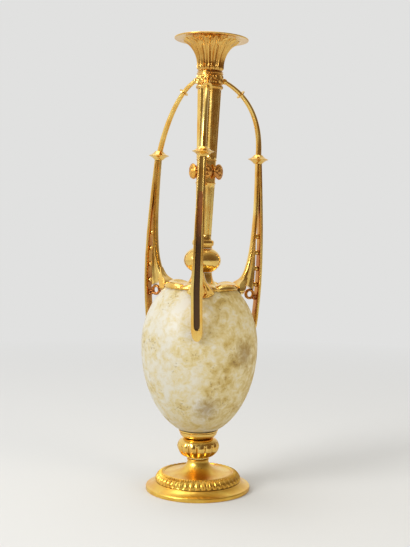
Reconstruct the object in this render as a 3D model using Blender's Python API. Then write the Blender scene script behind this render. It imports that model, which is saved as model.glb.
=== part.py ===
"""A bud vase: a mottled stone egg in gilt bronze mounts, with three slender handles.

Metres, +Z up.  The origin is the centre of the foot's flat underside, and one handle faces -Y.
Foot, knop, cup and egg stand upright.  All that stands on the egg shares one mount axis, which
leans a little to +X about a centre inside the egg, so that the plate keeps its seat on the stone.
"""

import math

import bmesh
import bpy
from mathutils import Matrix, Vector

# Fits
JOINT_GAP = 0.0003
STONE_GAP = 0.0004
MOUNT_LEAN = math.radians(1.7)

# Foot
FOOT_RADIUS = 0.0327
FOOT_HEIGHT = 0.0194
FOOT_RIM_HEIGHT = 0.0027
FOOT_STEP = 0.0013
LEAF_BAND_RADIUS = 0.0266
LEAF_BAND_BASE = 0.0056
LEAF_BAND_SWELL = 0.0011
DISH_RADIUS = 0.0222
DISH_HEIGHT = 0.0109
DISH_DEPTH = 0.0004
STEM_RADIUS = 0.0066
STEM_BEAD = 0.0005
FOOT_LEAVES = 18
FOOT_LEAF_RELIEF = 0.0005
EDGE = 0.0005

# Knop
KNOP_HEIGHT = 0.0128
KNOP_RADIUS = 0.0132
GADROONS = 14
GADROON_DEPTH = 0.0011

# Egg and its cup
CUP_HEIGHT = 0.0051
CUP_RADIUS = 0.0125
CUP_BASE_RADIUS = 0.0082
CUP_FLOOR = 0.0015
CUP_WALL = 0.0006
EGG_RADIUS = 0.0363
EGG_BELOW = 0.0563
EGG_ABOVE = 0.0447
EGG_SEAT_HEIGHT = 0.0366

# Crown plate on the egg
PLATE_RADIUS = 0.0232
PLATE_LIP = 0.0004
PLATE_HEIGHT = 0.0087
PLATE_CREST = 0.0030
PLATE_LOBES = 6
LOBE_VALLEY = 0.0022
LOBE_RECESS = 0.0005
PLATE_NECK_RADIUS = 0.0064

# Ball
BALL_RADIUS = 0.0116
BALL_HALF_HEIGHT = 0.0085
BALL_LOWER_NECK = 0.0066
BALL_UPPER_NECK = 0.0066
BALL_COLLAR = 0.0004

# Neck
NECK_LENGTH = 0.0976
NECK_BASE_RADIUS = 0.0068
NECK_BASE_HEIGHT = 0.0052
NECK_SCOTIA_RADIUS = 0.0058
NECK_SCOTIA_HEIGHT = 0.0014
NECK_LOW_RADIUS = 0.0049
NECK_TOP_RADIUS = 0.0073
NECK_FLUTES = 10
FLUTE_DEPTH = 0.0006
FLUTE_TURN = math.radians(-12.5)
NECK_FLARE = 0.0012
BORE_FLOOR = 0.0126
BORE_LOW_RADIUS = 0.0035
BORE_TOP_RADIUS = 0.0053
SPIGOT_RADIUS = 0.0063
BAND_HEIGHT = 0.0403
BAND_WIDTH = 0.0142
BAND_RADIUS = 0.0061
BAND_RING = 0.0002

# Rosettes on the neck's band
ROSETTE_COUNT = 6
ROSETTE_RADIUS = 0.0048
ROSETTE_STEM_RADIUS = 0.0014
ROSETTE_STEM_LENGTH = 0.0022
ROSETTE_THICKNESS = 0.0021

# Collar
COLLAR_HEIGHT = 0.0103
COLLAR_RADIUS = 0.0083
COLLAR_RECESS = 0.0005
COLLAR_RING = 0.0012
COLLAR_MOTIFS = 12

# Lip
LIP_HEIGHT = 0.0204
LIP_RADIUS = 0.0232
LIP_WAIST_RADIUS = 0.0081
LIP_WAIST_HEIGHT = 0.0035
LIP_WALL = 0.0009
LIP_LEAVES = 12
LIP_LEAF_RELIEF = 0.0007

# Handles, measured from the mount axis in the plane of each handle
BLADE_TIP_SWAY = 0.0012
# Name, spread of the arm, spread of the blade, turn of the foot leaf in degrees, sway of the tip
HANDLES = (("handle_front", 0, 0, 3.3, BLADE_TIP_SWAY), ("handle_right", 1, -1, 0, 0),
           ("handle_left", -1, 1, 0, 0))
HANDLE_KNOP_RADIUS = 0.0366
HANDLE_KNOP_HEIGHT = 0.0808
KNOP_DISC_RADIUS = 0.0065
KNOP_DISC_HALF_HEIGHT = 0.0028
KNOP_DISC_CORE = 0.0026
ARM_THICKNESS = 0.0038
ARM_END_THICKNESS = 0.0025
ARM_SPREAD = 0.146
ARM_NODE_DROP = 0.0076
ARM_BALL_DROP = 0.0008
ARM_NODE_RADIUS = 0.0030
ARM_NODE_HALF_HEIGHT = 0.0010
ARM_NODE_CORE = 0.0014
ARM_BALL_RADIUS = 0.0018
BLADE_THICKNESS = 0.0019
BLADE_TOP_WIDTH = 0.0042
BLADE_LOW_WIDTH = 0.0068
BLADE_WIDENING = 1.4
BLADE_BOW = 0.0043
BLADE_BOW_SPREAD = 0.0006
BLADE_TIP_HEIGHT = 0.0068
BLADE_STONE_GAP = 0.0010
BLADE_RIM_DROP = 0.0003
CHANNEL_SHARE = 0.46
CHANNEL_DEPTH = 0.0009
BRANCH_WIDTH = 0.0036
BRANCH_ROOT_INSET = 0.0016
BRANCH_TOE_RADIUS = 0.0268
BRANCH_TOE_THICKNESS = 0.0010
BRANCH_HEEL_DROP = 0.0062
SLOT_WIDTH = 0.0026
LEAF_HALF_WIDTH = 0.0082
LEAF_CLEARANCE = 0.0010
# Height above the plate's seat, share of the width, inset and depth, from the top down
LEAF_LEVELS = ((0.0095, 0.22, 0.0062, 0.0040), (0.0050, 0.48, 0.0024, 0.0070),
               (0.0018, 0.68, 0.0002, 0.0078), (-0.0012, 0.92, 0, 0.0070),
               (-0.0030, 1.0, 0, 0.0054), (-0.0050, 0.62, 0, 0.0026))
EYE_RADIUS = 0.0026
EYE_THICKNESS = 0.0019
EYE_CENTRE_RADIUS = 0.0346
EYE_CENTRE_DROP = 0.0050
SCROLL_RADIUS = 0.0019
BEAD_RADIUS = 0.0013
BEAD_LEVELS = 4
BEAD_PITCH = 0.0102
BEAD_TOP = 0.0318

# Facets
FOOT_FACETS = 36
LIP_FACETS = 36
NECK_FACETS = 30
PLATE_FACETS = 30
PLAIN_FACETS = 24
KNOP_FACETS = 28
EGG_FACETS = 30
EGG_RINGS_BELOW = 8
EGG_RINGS_ABOVE = 6
ROSETTE_FACETS = 8

# Levels, each piece seated on the one below
KNOP_SEAT = FOOT_HEIGHT + JOINT_GAP
CUP_SEAT = KNOP_SEAT + KNOP_HEIGHT + JOINT_GAP
EGG_LOW = CUP_SEAT + CUP_FLOOR + STONE_GAP
EGG_MIDDLE = EGG_LOW + EGG_BELOW
PLATE_SEAT = EGG_MIDDLE + EGG_SEAT_HEIGHT + JOINT_GAP
BALL_SEAT = PLATE_SEAT + PLATE_HEIGHT + JOINT_GAP


def egg_radius(height):
    """Radius of the egg at a height above the floor."""
    reach = EGG_ABOVE if height > EGG_MIDDLE else EGG_BELOW
    share = min(abs(height - EGG_MIDDLE) / reach, 1)
    return EGG_RADIUS * math.sqrt(1 - share * share)


def egg_height(radius, reach):
    """Distance of the egg's surface above or below its widest level, at a radius."""
    return reach * math.sqrt(max(1 - (radius / EGG_RADIUS) ** 2, 0))


def egg_centre():
    """Level on the axis where the stone's normals under the plate's rim meet."""
    rim_level = egg_height(PLATE_RADIUS, EGG_ABOVE)
    return EGG_MIDDLE + rim_level * (1 - (EGG_RADIUS / EGG_ABOVE) ** 2)


def material(name, colour, roughness, metallic):
    made = bpy.data.materials.new(name)
    made.use_nodes = True
    shader = made.node_tree.nodes["Principled BSDF"]
    shader.inputs["Base Color"].default_value = (*colour, 1)
    shader.inputs["Roughness"].default_value = roughness
    shader.inputs["Metallic"].default_value = metallic
    return made


def add_object(name, mesh, finish, parent=None, height=0.0, turn=0.0):
    """Puts a mesh in the scene as one named piece, at a height on the axis."""
    made = bpy.data.objects.new(name, mesh)
    if not mesh.materials:
        mesh.materials.append(finish)
    bpy.context.scene.collection.objects.link(made)
    made.parent = parent
    made.location.z = height - (parent.location.z if parent else 0)
    made.rotation_euler.z = turn
    return made


def finish_mesh(name, bm, smooth_angle=35):
    bmesh.ops.remove_doubles(bm, verts=bm.verts, dist=1e-7)
    bmesh.ops.recalc_face_normals(bm, faces=bm.faces)
    mesh = bpy.data.meshes.new(name)
    bm.to_mesh(mesh)
    bm.free()
    mesh.shade_smooth()
    mesh.set_sharp_from_angle(angle=math.radians(smooth_angle))
    return mesh


def quarter(start, end, steps, level_first):
    """Points after start up to end on a quarter of an ellipse, as in a cove or an ovolo."""
    points = []
    for step in range(1, steps + 1):
        turn = math.pi / 2 * step / steps
        slow, fast = 1 - math.cos(turn), math.sin(turn)
        across, up = (fast, slow) if level_first else (slow, fast)
        points.append((start[0] + (end[0] - start[0]) * across, start[1] + (end[1] - start[1]) * up))
    return points


def bowed(start, end, swell, steps):
    """Points after start up to end on a shallow arc that swells to the right of its way."""
    way = Vector(end) - Vector(start)
    side = Vector((way.y, -way.x)).normalized() * swell
    points = []
    for step in range(1, steps + 1):
        share = step / steps
        points.append(tuple(Vector(start) + way * share + side * 4 * share * (1 - share)))
    return points


def turned_bmesh(profile, segments, closed=False):
    """Spins a profile of (radius, height) points round the Z axis."""
    bm = bmesh.new()
    verts = [bm.verts.new((radius, 0, height)) for radius, height in profile]
    edges = [bm.edges.new(pair) for pair in zip(verts, verts[1:])]
    if closed:
        edges.append(bm.edges.new((verts[-1], verts[0])))
    bmesh.ops.spin(bm, geom=verts + edges, axis=(0, 0, 1), cent=(0, 0, 0), steps=segments,
                   angle=math.tau, use_merge=True, use_duplicate=False)
    bmesh.ops.remove_doubles(bm, verts=bm.verts, dist=1e-7)
    return bm


def carve(bm, cut):
    """Moves each point to the (radius, height) that cut gives for its radius, angle and height."""
    for vert in bm.verts:
        radius = math.hypot(vert.co.x, vert.co.y)
        if radius < 1e-6:
            continue
        angle = math.atan2(vert.co.y, vert.co.x)
        new_radius, height = cut(radius, angle, vert.co.z)
        vert.co = (new_radius * math.cos(angle), new_radius * math.sin(angle), height)


def window(value, low, high):
    """Rises from 0 at low to 1 midway and falls to 0 at high."""
    if not low < value < high:
        return 0.0
    return math.sin(math.pi * (value - low) / (high - low))


def make_foot(finish):
    rim = FOOT_RADIUS - FOOT_STEP
    profile = [(0, 0), (FOOT_RADIUS, 0), (FOOT_RADIUS, FOOT_RIM_HEIGHT - EDGE), (rim, FOOT_RIM_HEIGHT)]
    profile += bowed(profile[-1], (LEAF_BAND_RADIUS + EDGE, LEAF_BAND_BASE - EDGE), EDGE, 2)
    profile += [(LEAF_BAND_RADIUS - EDGE, LEAF_BAND_BASE - EDGE)]
    profile += [(LEAF_BAND_RADIUS, LEAF_BAND_BASE)]
    profile += bowed(profile[-1], (DISH_RADIUS, DISH_HEIGHT), LEAF_BAND_SWELL, 3)
    profile += [(DISH_RADIUS - 2 * EDGE, DISH_HEIGHT - DISH_DEPTH)]
    neck = FOOT_HEIGHT - 2 * EDGE
    profile += quarter(profile[-1], (STEM_RADIUS, neck), 4, level_first=True)
    profile += [(STEM_RADIUS + STEM_BEAD, neck + EDGE), (STEM_RADIUS, FOOT_HEIGHT), (0, FOOT_HEIGHT)]
    bm = turned_bmesh(profile, FOOT_FACETS)

    def leaves(radius, angle, height):
        on_band = LEAF_BAND_BASE - EDGE / 2 < height < DISH_HEIGHT - EDGE and radius > DISH_RADIUS
        row = 1 if height > LEAF_BAND_BASE + EDGE else 0
        side = math.cos(FOOT_LEAVES * angle + math.pi * row)
        return radius + FOOT_LEAF_RELIEF * on_band * side, height

    carve(bm, leaves)
    return add_object("foot", finish_mesh("foot", bm, smooth_angle=28), finish)


def make_knop(finish):
    low, high = 0.05 * KNOP_HEIGHT, 0.93 * KNOP_HEIGHT
    middle = 0.58 * KNOP_HEIGHT
    profile = [(0, 0), (STEM_RADIUS, 0), (STEM_RADIUS, low)]
    profile += bowed(profile[-1], (KNOP_RADIUS, middle), 0.12 * KNOP_RADIUS, 3)
    profile += quarter(profile[-1], (CUP_BASE_RADIUS, KNOP_HEIGHT), 3, level_first=False)
    profile += [(0, KNOP_HEIGHT)]
    bm = turned_bmesh(profile, KNOP_FACETS)

    def gadroons(radius, angle, height):
        lobe = abs(math.sin(GADROONS * angle / 2))
        depth = GADROON_DEPTH * window(height, low, high) * (1 - lobe)
        return radius - depth, height

    carve(bm, gadroons)
    return add_object("knop", finish_mesh("knop", bm), finish, height=KNOP_SEAT)


def make_egg_cup(finish):
    profile = [(0, 0), (CUP_BASE_RADIUS, 0)]
    profile += quarter(profile[-1], (CUP_RADIUS, CUP_HEIGHT - EDGE), 3, level_first=True)
    profile += [(CUP_RADIUS, CUP_HEIGHT)]
    bowl_centre = EGG_MIDDLE - CUP_SEAT
    for step in range(4):
        radius = (CUP_RADIUS - CUP_WALL) * (1 - step / 3)
        profile.append((radius, bowl_centre - egg_height(radius, EGG_BELOW) - STONE_GAP))
    bm = turned_bmesh(profile, PLAIN_FACETS)
    return add_object("egg_cup", finish_mesh("egg_cup", bm), finish, height=CUP_SEAT)


def make_egg(finish, mount_axis):
    """An egg of two half ellipses, cut flat on top where the leaning plate sits."""
    profile = []
    for step in range(-EGG_RINGS_BELOW, EGG_RINGS_ABOVE + 1):
        count = EGG_RINGS_BELOW if step < 0 else EGG_RINGS_ABOVE
        turn = math.pi / 2 * step / count
        reach = EGG_BELOW if step < 0 else EGG_ABOVE
        profile.append((EGG_RADIUS * math.cos(turn), reach * math.sin(turn)))
    bm = turned_bmesh(profile, EGG_FACETS)
    bmesh.ops.translate(bm, verts=bm.verts, vec=(0, 0, EGG_MIDDLE))
    seat = mount_axis.matrix_world @ Vector((0, 0, EGG_MIDDLE + EGG_SEAT_HEIGHT - mount_axis.location.z))
    up = mount_axis.matrix_world.to_3x3() @ Vector((0, 0, 1))
    cut = bmesh.ops.bisect_plane(bm, geom=bm.verts[:] + bm.edges[:] + bm.faces[:],
                                 plane_co=seat, plane_no=up, clear_outer=True)
    rim = [item for item in cut["geom_cut"] if isinstance(item, bmesh.types.BMEdge)]
    bmesh.ops.contextual_create(bm, geom=rim)
    return add_object("egg", finish_mesh("egg", bm, smooth_angle=50), finish)


def plate_profile():
    """The plate's section, heights counted from its seat on the egg's flat top."""
    widest = EGG_MIDDLE - PLATE_SEAT
    inner = PLATE_RADIUS - PLATE_LIP
    shoulder = egg_radius(EGG_MIDDLE + EGG_SEAT_HEIGHT)
    profile = [(0, 0), (shoulder, 0)]
    for radius in (0.5 * (shoulder + inner), inner):
        profile.append((radius, widest + egg_height(radius, EGG_ABOVE) + 1.6 * STONE_GAP))
    low = profile[-1][1]
    profile += [(PLATE_RADIUS, low + EDGE), (PLATE_RADIUS + EDGE, 0.1 * low)]
    profile += quarter(profile[-1], (0.80 * PLATE_RADIUS, PLATE_CREST), 2, level_first=False)
    profile += [(0.60 * PLATE_RADIUS, 0.2 * PLATE_CREST)]
    profile += quarter((0.50 * PLATE_RADIUS, 0.2 * PLATE_CREST), (PLATE_NECK_RADIUS, PLATE_HEIGHT), 3,
                       level_first=True)
    return profile + [(0, PLATE_HEIGHT)], low


def lobe_share(angle):
    """1 along the middle of each lobe, 0 in the valleys between lobes."""
    return abs(math.cos(PLATE_LOBES / 2 * (angle + math.pi / 2))) ** 0.7


def make_crown_plate(finish, mount_axis):
    profile, low = plate_profile()
    bm = turned_bmesh(profile, PLATE_FACETS)

    def lobes(radius, angle, height):
        on_top = radius > 0.5 * PLATE_RADIUS and height > 0.5 * low
        on_side = radius > PLATE_RADIUS - 0.5 * PLATE_LIP
        valley = 1 - lobe_share(angle)
        reach = min(max((radius / PLATE_RADIUS - 0.5) / 0.28, 0), 1) if on_top else 0
        sink = LOBE_VALLEY * valley * reach * (height > 0)
        return radius - LOBE_RECESS * valley * on_side, height - sink

    carve(bm, lobes)
    return add_object("crown_plate", finish_mesh("crown_plate", bm), finish, mount_axis, PLATE_SEAT)


def ball_levels():
    """Heights of the ball's lower neck, centre, upper neck and top above its seat."""
    low = BALL_COLLAR
    centre = low + BALL_HALF_HEIGHT * math.sin(math.acos((BALL_LOWER_NECK + EDGE) / BALL_RADIUS))
    high = centre + BALL_HALF_HEIGHT * math.sin(math.acos((BALL_UPPER_NECK + EDGE) / BALL_RADIUS))
    return low, centre, high, high + BALL_COLLAR


def make_ball(finish, mount_axis):
    """A slightly flattened ball between two low collars."""
    low, centre, high, top = ball_levels()
    start = -math.acos((BALL_LOWER_NECK + EDGE) / BALL_RADIUS)
    end = math.acos((BALL_UPPER_NECK + EDGE) / BALL_RADIUS)
    steps = 7
    profile = [(0, 0), (BALL_LOWER_NECK, 0)]
    for step in range(steps + 1):
        turn = start + (end - start) * step / steps
        profile.append((BALL_RADIUS * math.cos(turn), centre + BALL_HALF_HEIGHT * math.sin(turn)))
    profile += [(BALL_UPPER_NECK, top), (0, top)]
    bm = turned_bmesh(profile, PLAIN_FACETS)
    return add_object("ball", finish_mesh("ball", bm, smooth_angle=50), finish, mount_axis, BALL_SEAT)


NECK_SEAT = BALL_SEAT + ball_levels()[3] + JOINT_GAP
COLLAR_SEAT = NECK_SEAT + NECK_LENGTH + JOINT_GAP
LIP_SEAT = COLLAR_SEAT + COLLAR_HEIGHT + JOINT_GAP


def neck_radius(height):
    """Outer radius of the plain shaft at a height above the neck's seat."""
    low = NECK_BASE_HEIGHT + NECK_FLARE
    if height < low:
        return NECK_LOW_RADIUS + EDGE
    share = (height - low) / (NECK_LENGTH - low)
    return NECK_LOW_RADIUS + (NECK_TOP_RADIUS - NECK_LOW_RADIUS) * share


def make_neck(finish, mount_axis):
    band_top = BAND_HEIGHT + BAND_WIDTH
    ring_low = NECK_SCOTIA_HEIGHT + 0.25 * (NECK_BASE_HEIGHT - NECK_SCOTIA_HEIGHT)
    ring_high = NECK_BASE_HEIGHT - 0.25 * (NECK_BASE_HEIGHT - NECK_SCOTIA_HEIGHT)
    profile = [(0, 0), (NECK_BASE_RADIUS - EDGE, 0), (NECK_SCOTIA_RADIUS, NECK_SCOTIA_HEIGHT)]
    profile += [(NECK_BASE_RADIUS, ring_low), (NECK_BASE_RADIUS, ring_high)]
    shaft_start = NECK_BASE_HEIGHT + NECK_FLARE
    profile += [(neck_radius(NECK_BASE_HEIGHT), NECK_BASE_HEIGHT)]
    for height in (shaft_start, BAND_HEIGHT - 2 * EDGE):
        profile.append((neck_radius(height), height))
    profile += [(BAND_RADIUS + BAND_RING, BAND_HEIGHT), (BAND_RADIUS + BAND_RING, band_top)]
    for height in (band_top + 2 * EDGE, NECK_LENGTH):
        profile.append((neck_radius(height), height))
    spigot_top = NECK_LENGTH + COLLAR_HEIGHT
    profile += [(SPIGOT_RADIUS, NECK_LENGTH), (SPIGOT_RADIUS, spigot_top)]
    profile += [(BORE_TOP_RADIUS, spigot_top), (BORE_LOW_RADIUS, BORE_FLOOR), (0, BORE_FLOOR)]
    bm = turned_bmesh(profile, NECK_FACETS)

    def flutes(radius, angle, height):
        on_shaft = radius > 0.98 * neck_radius(height) if shaft_start <= height <= NECK_LENGTH else False
        on_band = BAND_HEIGHT - EDGE <= height <= band_top + EDGE
        if not on_shaft or on_band:
            return radius, height
        return radius - FLUTE_DEPTH * (0.5 + 0.5 * math.cos(NECK_FLUTES * (angle - FLUTE_TURN))), height

    carve(bm, flutes)
    return add_object("neck", finish_mesh("neck", bm), finish, mount_axis, NECK_SEAT)


def make_collar(finish, mount_axis):
    bore = SPIGOT_RADIUS + JOINT_GAP
    ring, recess = COLLAR_RING, COLLAR_RADIUS - COLLAR_RECESS
    profile = [(bore, 0), (recess, 0), (COLLAR_RADIUS, ring), (recess, 2 * ring)]
    profile += [(recess, 0.5 * COLLAR_HEIGHT + 0.5 * ring), (recess, COLLAR_HEIGHT - ring - EDGE)]
    profile += [(COLLAR_RADIUS, COLLAR_HEIGHT - 0.5 * ring), (bore, COLLAR_HEIGHT)]
    bm = turned_bmesh(profile, PLAIN_FACETS, closed=True)

    def motifs(radius, angle, height):
        in_band = window(height, 2.1 * ring, COLLAR_HEIGHT - ring - 2 * EDGE)
        raised = COLLAR_RECESS * (in_band > 0) * (0.5 + 0.5 * math.cos(COLLAR_MOTIFS * angle))
        return (radius + raised if radius > 1.1 * bore else radius), height

    carve(bm, motifs)
    return add_object("collar", finish_mesh("collar", bm), finish, mount_axis, COLLAR_SEAT)


def make_lip(finish, mount_axis):
    rim = (LIP_RADIUS, LIP_HEIGHT - EDGE)
    outer = [(LIP_WAIST_RADIUS, 0), (LIP_WAIST_RADIUS, LIP_WAIST_HEIGHT)]
    outer += quarter(outer[-1], (LIP_RADIUS - EDGE, LIP_HEIGHT - 2 * EDGE), 5, level_first=False)
    inner = [(LIP_RADIUS - 2 * EDGE, LIP_HEIGHT)]
    for radius, height in outer[-2:2:-1]:
        lean_in = (height - LIP_WAIST_HEIGHT) / (LIP_HEIGHT - LIP_WAIST_HEIGHT)
        inner.append((radius - 1.6 * LIP_WALL * (1.2 - lean_in), height + 1.3 * LIP_WALL * lean_in))
    inner.append((BORE_TOP_RADIUS, 0))
    bm = turned_bmesh(outer + [rim] + inner, LIP_FACETS, closed=True)
    bore = 0.5 * (BORE_TOP_RADIUS + LIP_WAIST_RADIUS)
    outline = dict((round(height, 7), radius) for radius, height in outer)

    def leaves(radius, angle, height):
        outside = outline.get(round(height, 7))
        if outside is None or radius < 0.999 * outside or radius < bore:
            return radius, height
        ridge = 0.5 + 0.5 * math.cos(LIP_LEAVES * angle)
        depth = LIP_LEAF_RELIEF * ridge * (height < LIP_HEIGHT - 3 * EDGE)
        return radius - depth * 0.7, height + depth * 0.3

    carve(bm, leaves)
    return add_object("lip", finish_mesh("lip", bm), finish, mount_axis, LIP_SEAT)


def bezier(points, share):
    """A point on the cubic curve through four guide points."""
    rest = 1 - share
    weights = (rest ** 3, 3 * rest * rest * share, 3 * rest * share * share, share ** 3)
    return sum((Vector(point) * weight for point, weight in zip(points, weights)), Vector((0, 0)))


def lofted(sections):
    """A closed body through rings of points, with flat ends."""
    bm = bmesh.new()
    rings = [[bm.verts.new(point) for point in section] for section in sections]
    for ring, after in zip(rings, rings[1:]):
        count = len(ring)
        for index in range(count):
            follow = (index + 1) % count
            bm.faces.new((ring[index], ring[follow], after[follow], after[index]))
    bm.faces.new(rings[0])
    bm.faces.new(rings[-1])
    bmesh.ops.recalc_face_normals(bm, faces=bm.faces)
    return bm


def in_handle_plane(radius, side, height):
    """A handle is modelled facing -Y: radius runs outwards, side runs across it."""
    return (side, -radius, height)


ARM_TOP = COLLAR_SEAT + 0.63 * COLLAR_HEIGHT
KNOP_LEVEL = PLATE_SEAT + HANDLE_KNOP_HEIGHT
BLADE_TIP = EGG_MIDDLE + BLADE_TIP_HEIGHT


def arm_curve(spread):
    """The arm's middle line; a handle with more spread arches further out."""
    start = (COLLAR_RADIUS + JOINT_GAP, ARM_TOP)
    span, drop = HANDLE_KNOP_RADIUS - start[0], ARM_TOP - KNOP_LEVEL
    wide = ARM_SPREAD * spread
    return (start, (start[0] + (0.45 + wide) * span, ARM_TOP - (0.09 + 0.3 * wide) * drop),
            (start[0] + (0.905 + wide) * span, ARM_TOP - (0.38 + 0.2 * wide) * drop),
            (HANDLE_KNOP_RADIUS, KNOP_LEVEL))


def make_arm(guide):
    """A bevelled rod that arches from the collar down to the handle's knop."""
    sections = []
    steps = 8
    for step in range(steps + 1):
        share = step / steps
        point = bezier(guide, share)
        ahead = bezier(guide, min(share + 0.01, 1)) - bezier(guide, max(share - 0.01, 0))
        normal = Vector((ahead.y, -ahead.x)).normalized() if step else Vector((0, -1))
        half = 0.5 * (ARM_END_THICKNESS + (ARM_THICKNESS - ARM_END_THICKNESS) * share)
        ring = []
        for corner in range(5):
            turn = math.tau * corner / 5
            offset = point + normal * half * math.cos(turn)
            ring.append(in_handle_plane(offset.x, half * math.sin(turn), offset.y))
        sections.append(ring)
    return lofted(sections)


def share_at(guide, height):
    """How far along a handle's curve a height is reached."""
    low, high = 0.0, 1.0
    for _ in range(30):
        middle = 0.5 * (low + high)
        if bezier(guide, middle).y > height:
            low = middle
        else:
            high = middle
    return low


def face_at(guide, height):
    """Radius of a handle's curve at a height."""
    return bezier(guide, share_at(guide, height)).x


def make_disc(radius, half_height, core, segments, point, along):
    """A sharp-edged double cone, set on a rod that runs along the given direction."""
    profile = [(0, -half_height), (core, -half_height), (radius, 0)]
    profile += [(core, half_height), (0, half_height)]
    bm = turned_bmesh(profile, segments)
    aim = Vector(in_handle_plane(along.x, 0, along.y)).normalized()
    turn = Vector((0, 0, 1)).rotation_difference(aim).to_matrix().to_4x4()
    bmesh.ops.transform(bm, matrix=Matrix.Translation(in_handle_plane(point.x, 0, point.y)) @ turn,
                        verts=bm.verts)
    return bm


def make_bead(radius, height, size):
    bm = bmesh.new()
    bmesh.ops.create_uvsphere(bm, u_segments=6, v_segments=4, radius=size,
                              matrix=Matrix.Translation(in_handle_plane(radius, 0, height)))
    return bm


def make_slot_bead(blade, height):
    """A small ball that bridges the slot between blade and branch."""
    outer = face_at(blade, height) - BLADE_THICKNESS
    sections = []
    for across, size in ((-0.2, 0.5), (0.1, 0.9), (0.45, 1.1), (0.8, 0.9), (1.2, 0.5)):
        ring = []
        for corner in range(4):
            turn = math.tau * corner / 4
            ring.append(in_handle_plane(outer - across * SLOT_WIDTH, BEAD_RADIUS * size * math.sin(turn),
                                        height + BEAD_RADIUS * size * math.cos(turn)))
        sections.append(ring)
    return lofted(sections)


def blade_curve(bow):
    """The outer face of the blade, from the knop to the tip beside the egg."""
    top = HANDLE_KNOP_RADIUS + 0.9 * BLADE_THICKNESS
    tip = egg_radius(BLADE_TIP) + BLADE_STONE_GAP + BLADE_THICKNESS
    drop = KNOP_LEVEL - BLADE_TIP
    return ((top, KNOP_LEVEL), (top + 0.75 * bow, KNOP_LEVEL - 0.36 * drop),
            (tip + 1.35 * bow, KNOP_LEVEL - 0.68 * drop), (tip, BLADE_TIP))


def blade_width(share):
    taper = math.sqrt(max(1 - max((share - 0.94) / 0.062, 0) ** 2, 0))
    full = min(share * BLADE_WIDENING, 1)
    return (BLADE_TOP_WIDTH + (BLADE_LOW_WIDTH - BLADE_TOP_WIDTH) * full) * taper


def make_blade(guide, sway):
    """The outer blade with a long channel in its face; below the plate it may lean sideways."""
    sections = []
    shares = [0, 0.18, 0.35, 0.51, 0.66, 0.81, 0.935, 0.975, 1.0]
    for share in shares:
        face = bezier(guide, share)
        half = 0.5 * blade_width(share)
        sunk = CHANNEL_DEPTH if 0.2 < share < 0.95 else 0.15 * CHANNEL_DEPTH
        cut = CHANNEL_SHARE * half
        back = face.x - BLADE_THICKNESS
        aside = sway * max((PLATE_SEAT - face.y) / (PLATE_SEAT - BLADE_TIP), 0)
        sections.append([in_handle_plane(radius, side + aside, face.y) for radius, side in (
            (face.x - BLADE_RIM_DROP, -half), (face.x, -1.5 * cut), (face.x - sunk, -cut),
            (face.x - sunk, cut), (face.x, 1.5 * cut), (face.x - BLADE_RIM_DROP, half),
            (back, 0.8 * half), (back, -0.8 * half))])
    return lofted(sections)


def branch_curve(bow):
    """The inner face of the branch, from the knop to its toe on the plate."""
    top = HANDLE_KNOP_RADIUS - BRANCH_ROOT_INSET
    toe = (BRANCH_TOE_RADIUS, PLATE_SEAT + PLATE_CREST + BRANCH_TOE_THICKNESS)
    drop = KNOP_LEVEL - toe[1]
    return ((top, KNOP_LEVEL), (top + 0.25 * bow, KNOP_LEVEL - 0.42 * drop),
            (toe[0] + 2.45 * bow, KNOP_LEVEL - 0.87 * drop), toe)


def make_branch(guide, blade):
    """The inner branch: one with the blade at the knop, then apart from it by a slot."""
    toe_under = PLATE_SEAT + PLATE_CREST + JOINT_GAP
    sections = []
    steps = 6
    for step in range(steps + 1):
        share = (step / steps) ** 0.9
        inner = bezier(guide, share)
        slot = SLOT_WIDTH * min(max((share - 0.2) / 0.35, -0.1), 1)
        outer_height = inner.y - BRANCH_HEEL_DROP * share ** 4
        outer = face_at(blade, outer_height) - BLADE_THICKNESS - slot
        half = 0.5 * BRANCH_WIDTH * (1 + 0.5 * share ** 2)
        low = inner.y if step < steps else toe_under
        sections.append([in_handle_plane(inner.x + across * (outer - inner.x), side * half,
                                         low + across * (outer_height - low))
                         for across, side in ((0, -0.5), (0.3, -1), (0.6, -0.6), (1, -0.9),
                                              (1, 0.9), (0.6, 0.6), (0.3, 1), (0, 0.5))])
    return lofted(sections)


def make_foot_leaf(foot_turn):
    """The ribbed leaf that spreads from the branch over the plate's rim and the egg's shoulder."""
    rim = PLATE_RADIUS + EDGE + JOINT_GAP
    section = ((-1, 0.3), (-0.72, 0.85), (-0.36, 0.6), (0, 1), (0.36, 0.6), (0.72, 0.85), (1, 0.3),
               (0.6, 0), (-0.6, 0))
    sections = []
    for rise, width, inset, depth in LEAF_LEVELS:
        height = PLATE_SEAT + rise
        inner = max(rim, egg_radius(height) + LEAF_CLEARANCE) + inset
        ring = []
        for side, out in section:
            turn = math.radians(foot_turn) + side * width * LEAF_HALF_WIDTH / inner
            reach = inner + out * depth
            ring.append(in_handle_plane(reach * math.cos(turn), reach * math.sin(turn), height))
        sections.append(ring)
    return lofted(sections)


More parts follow.
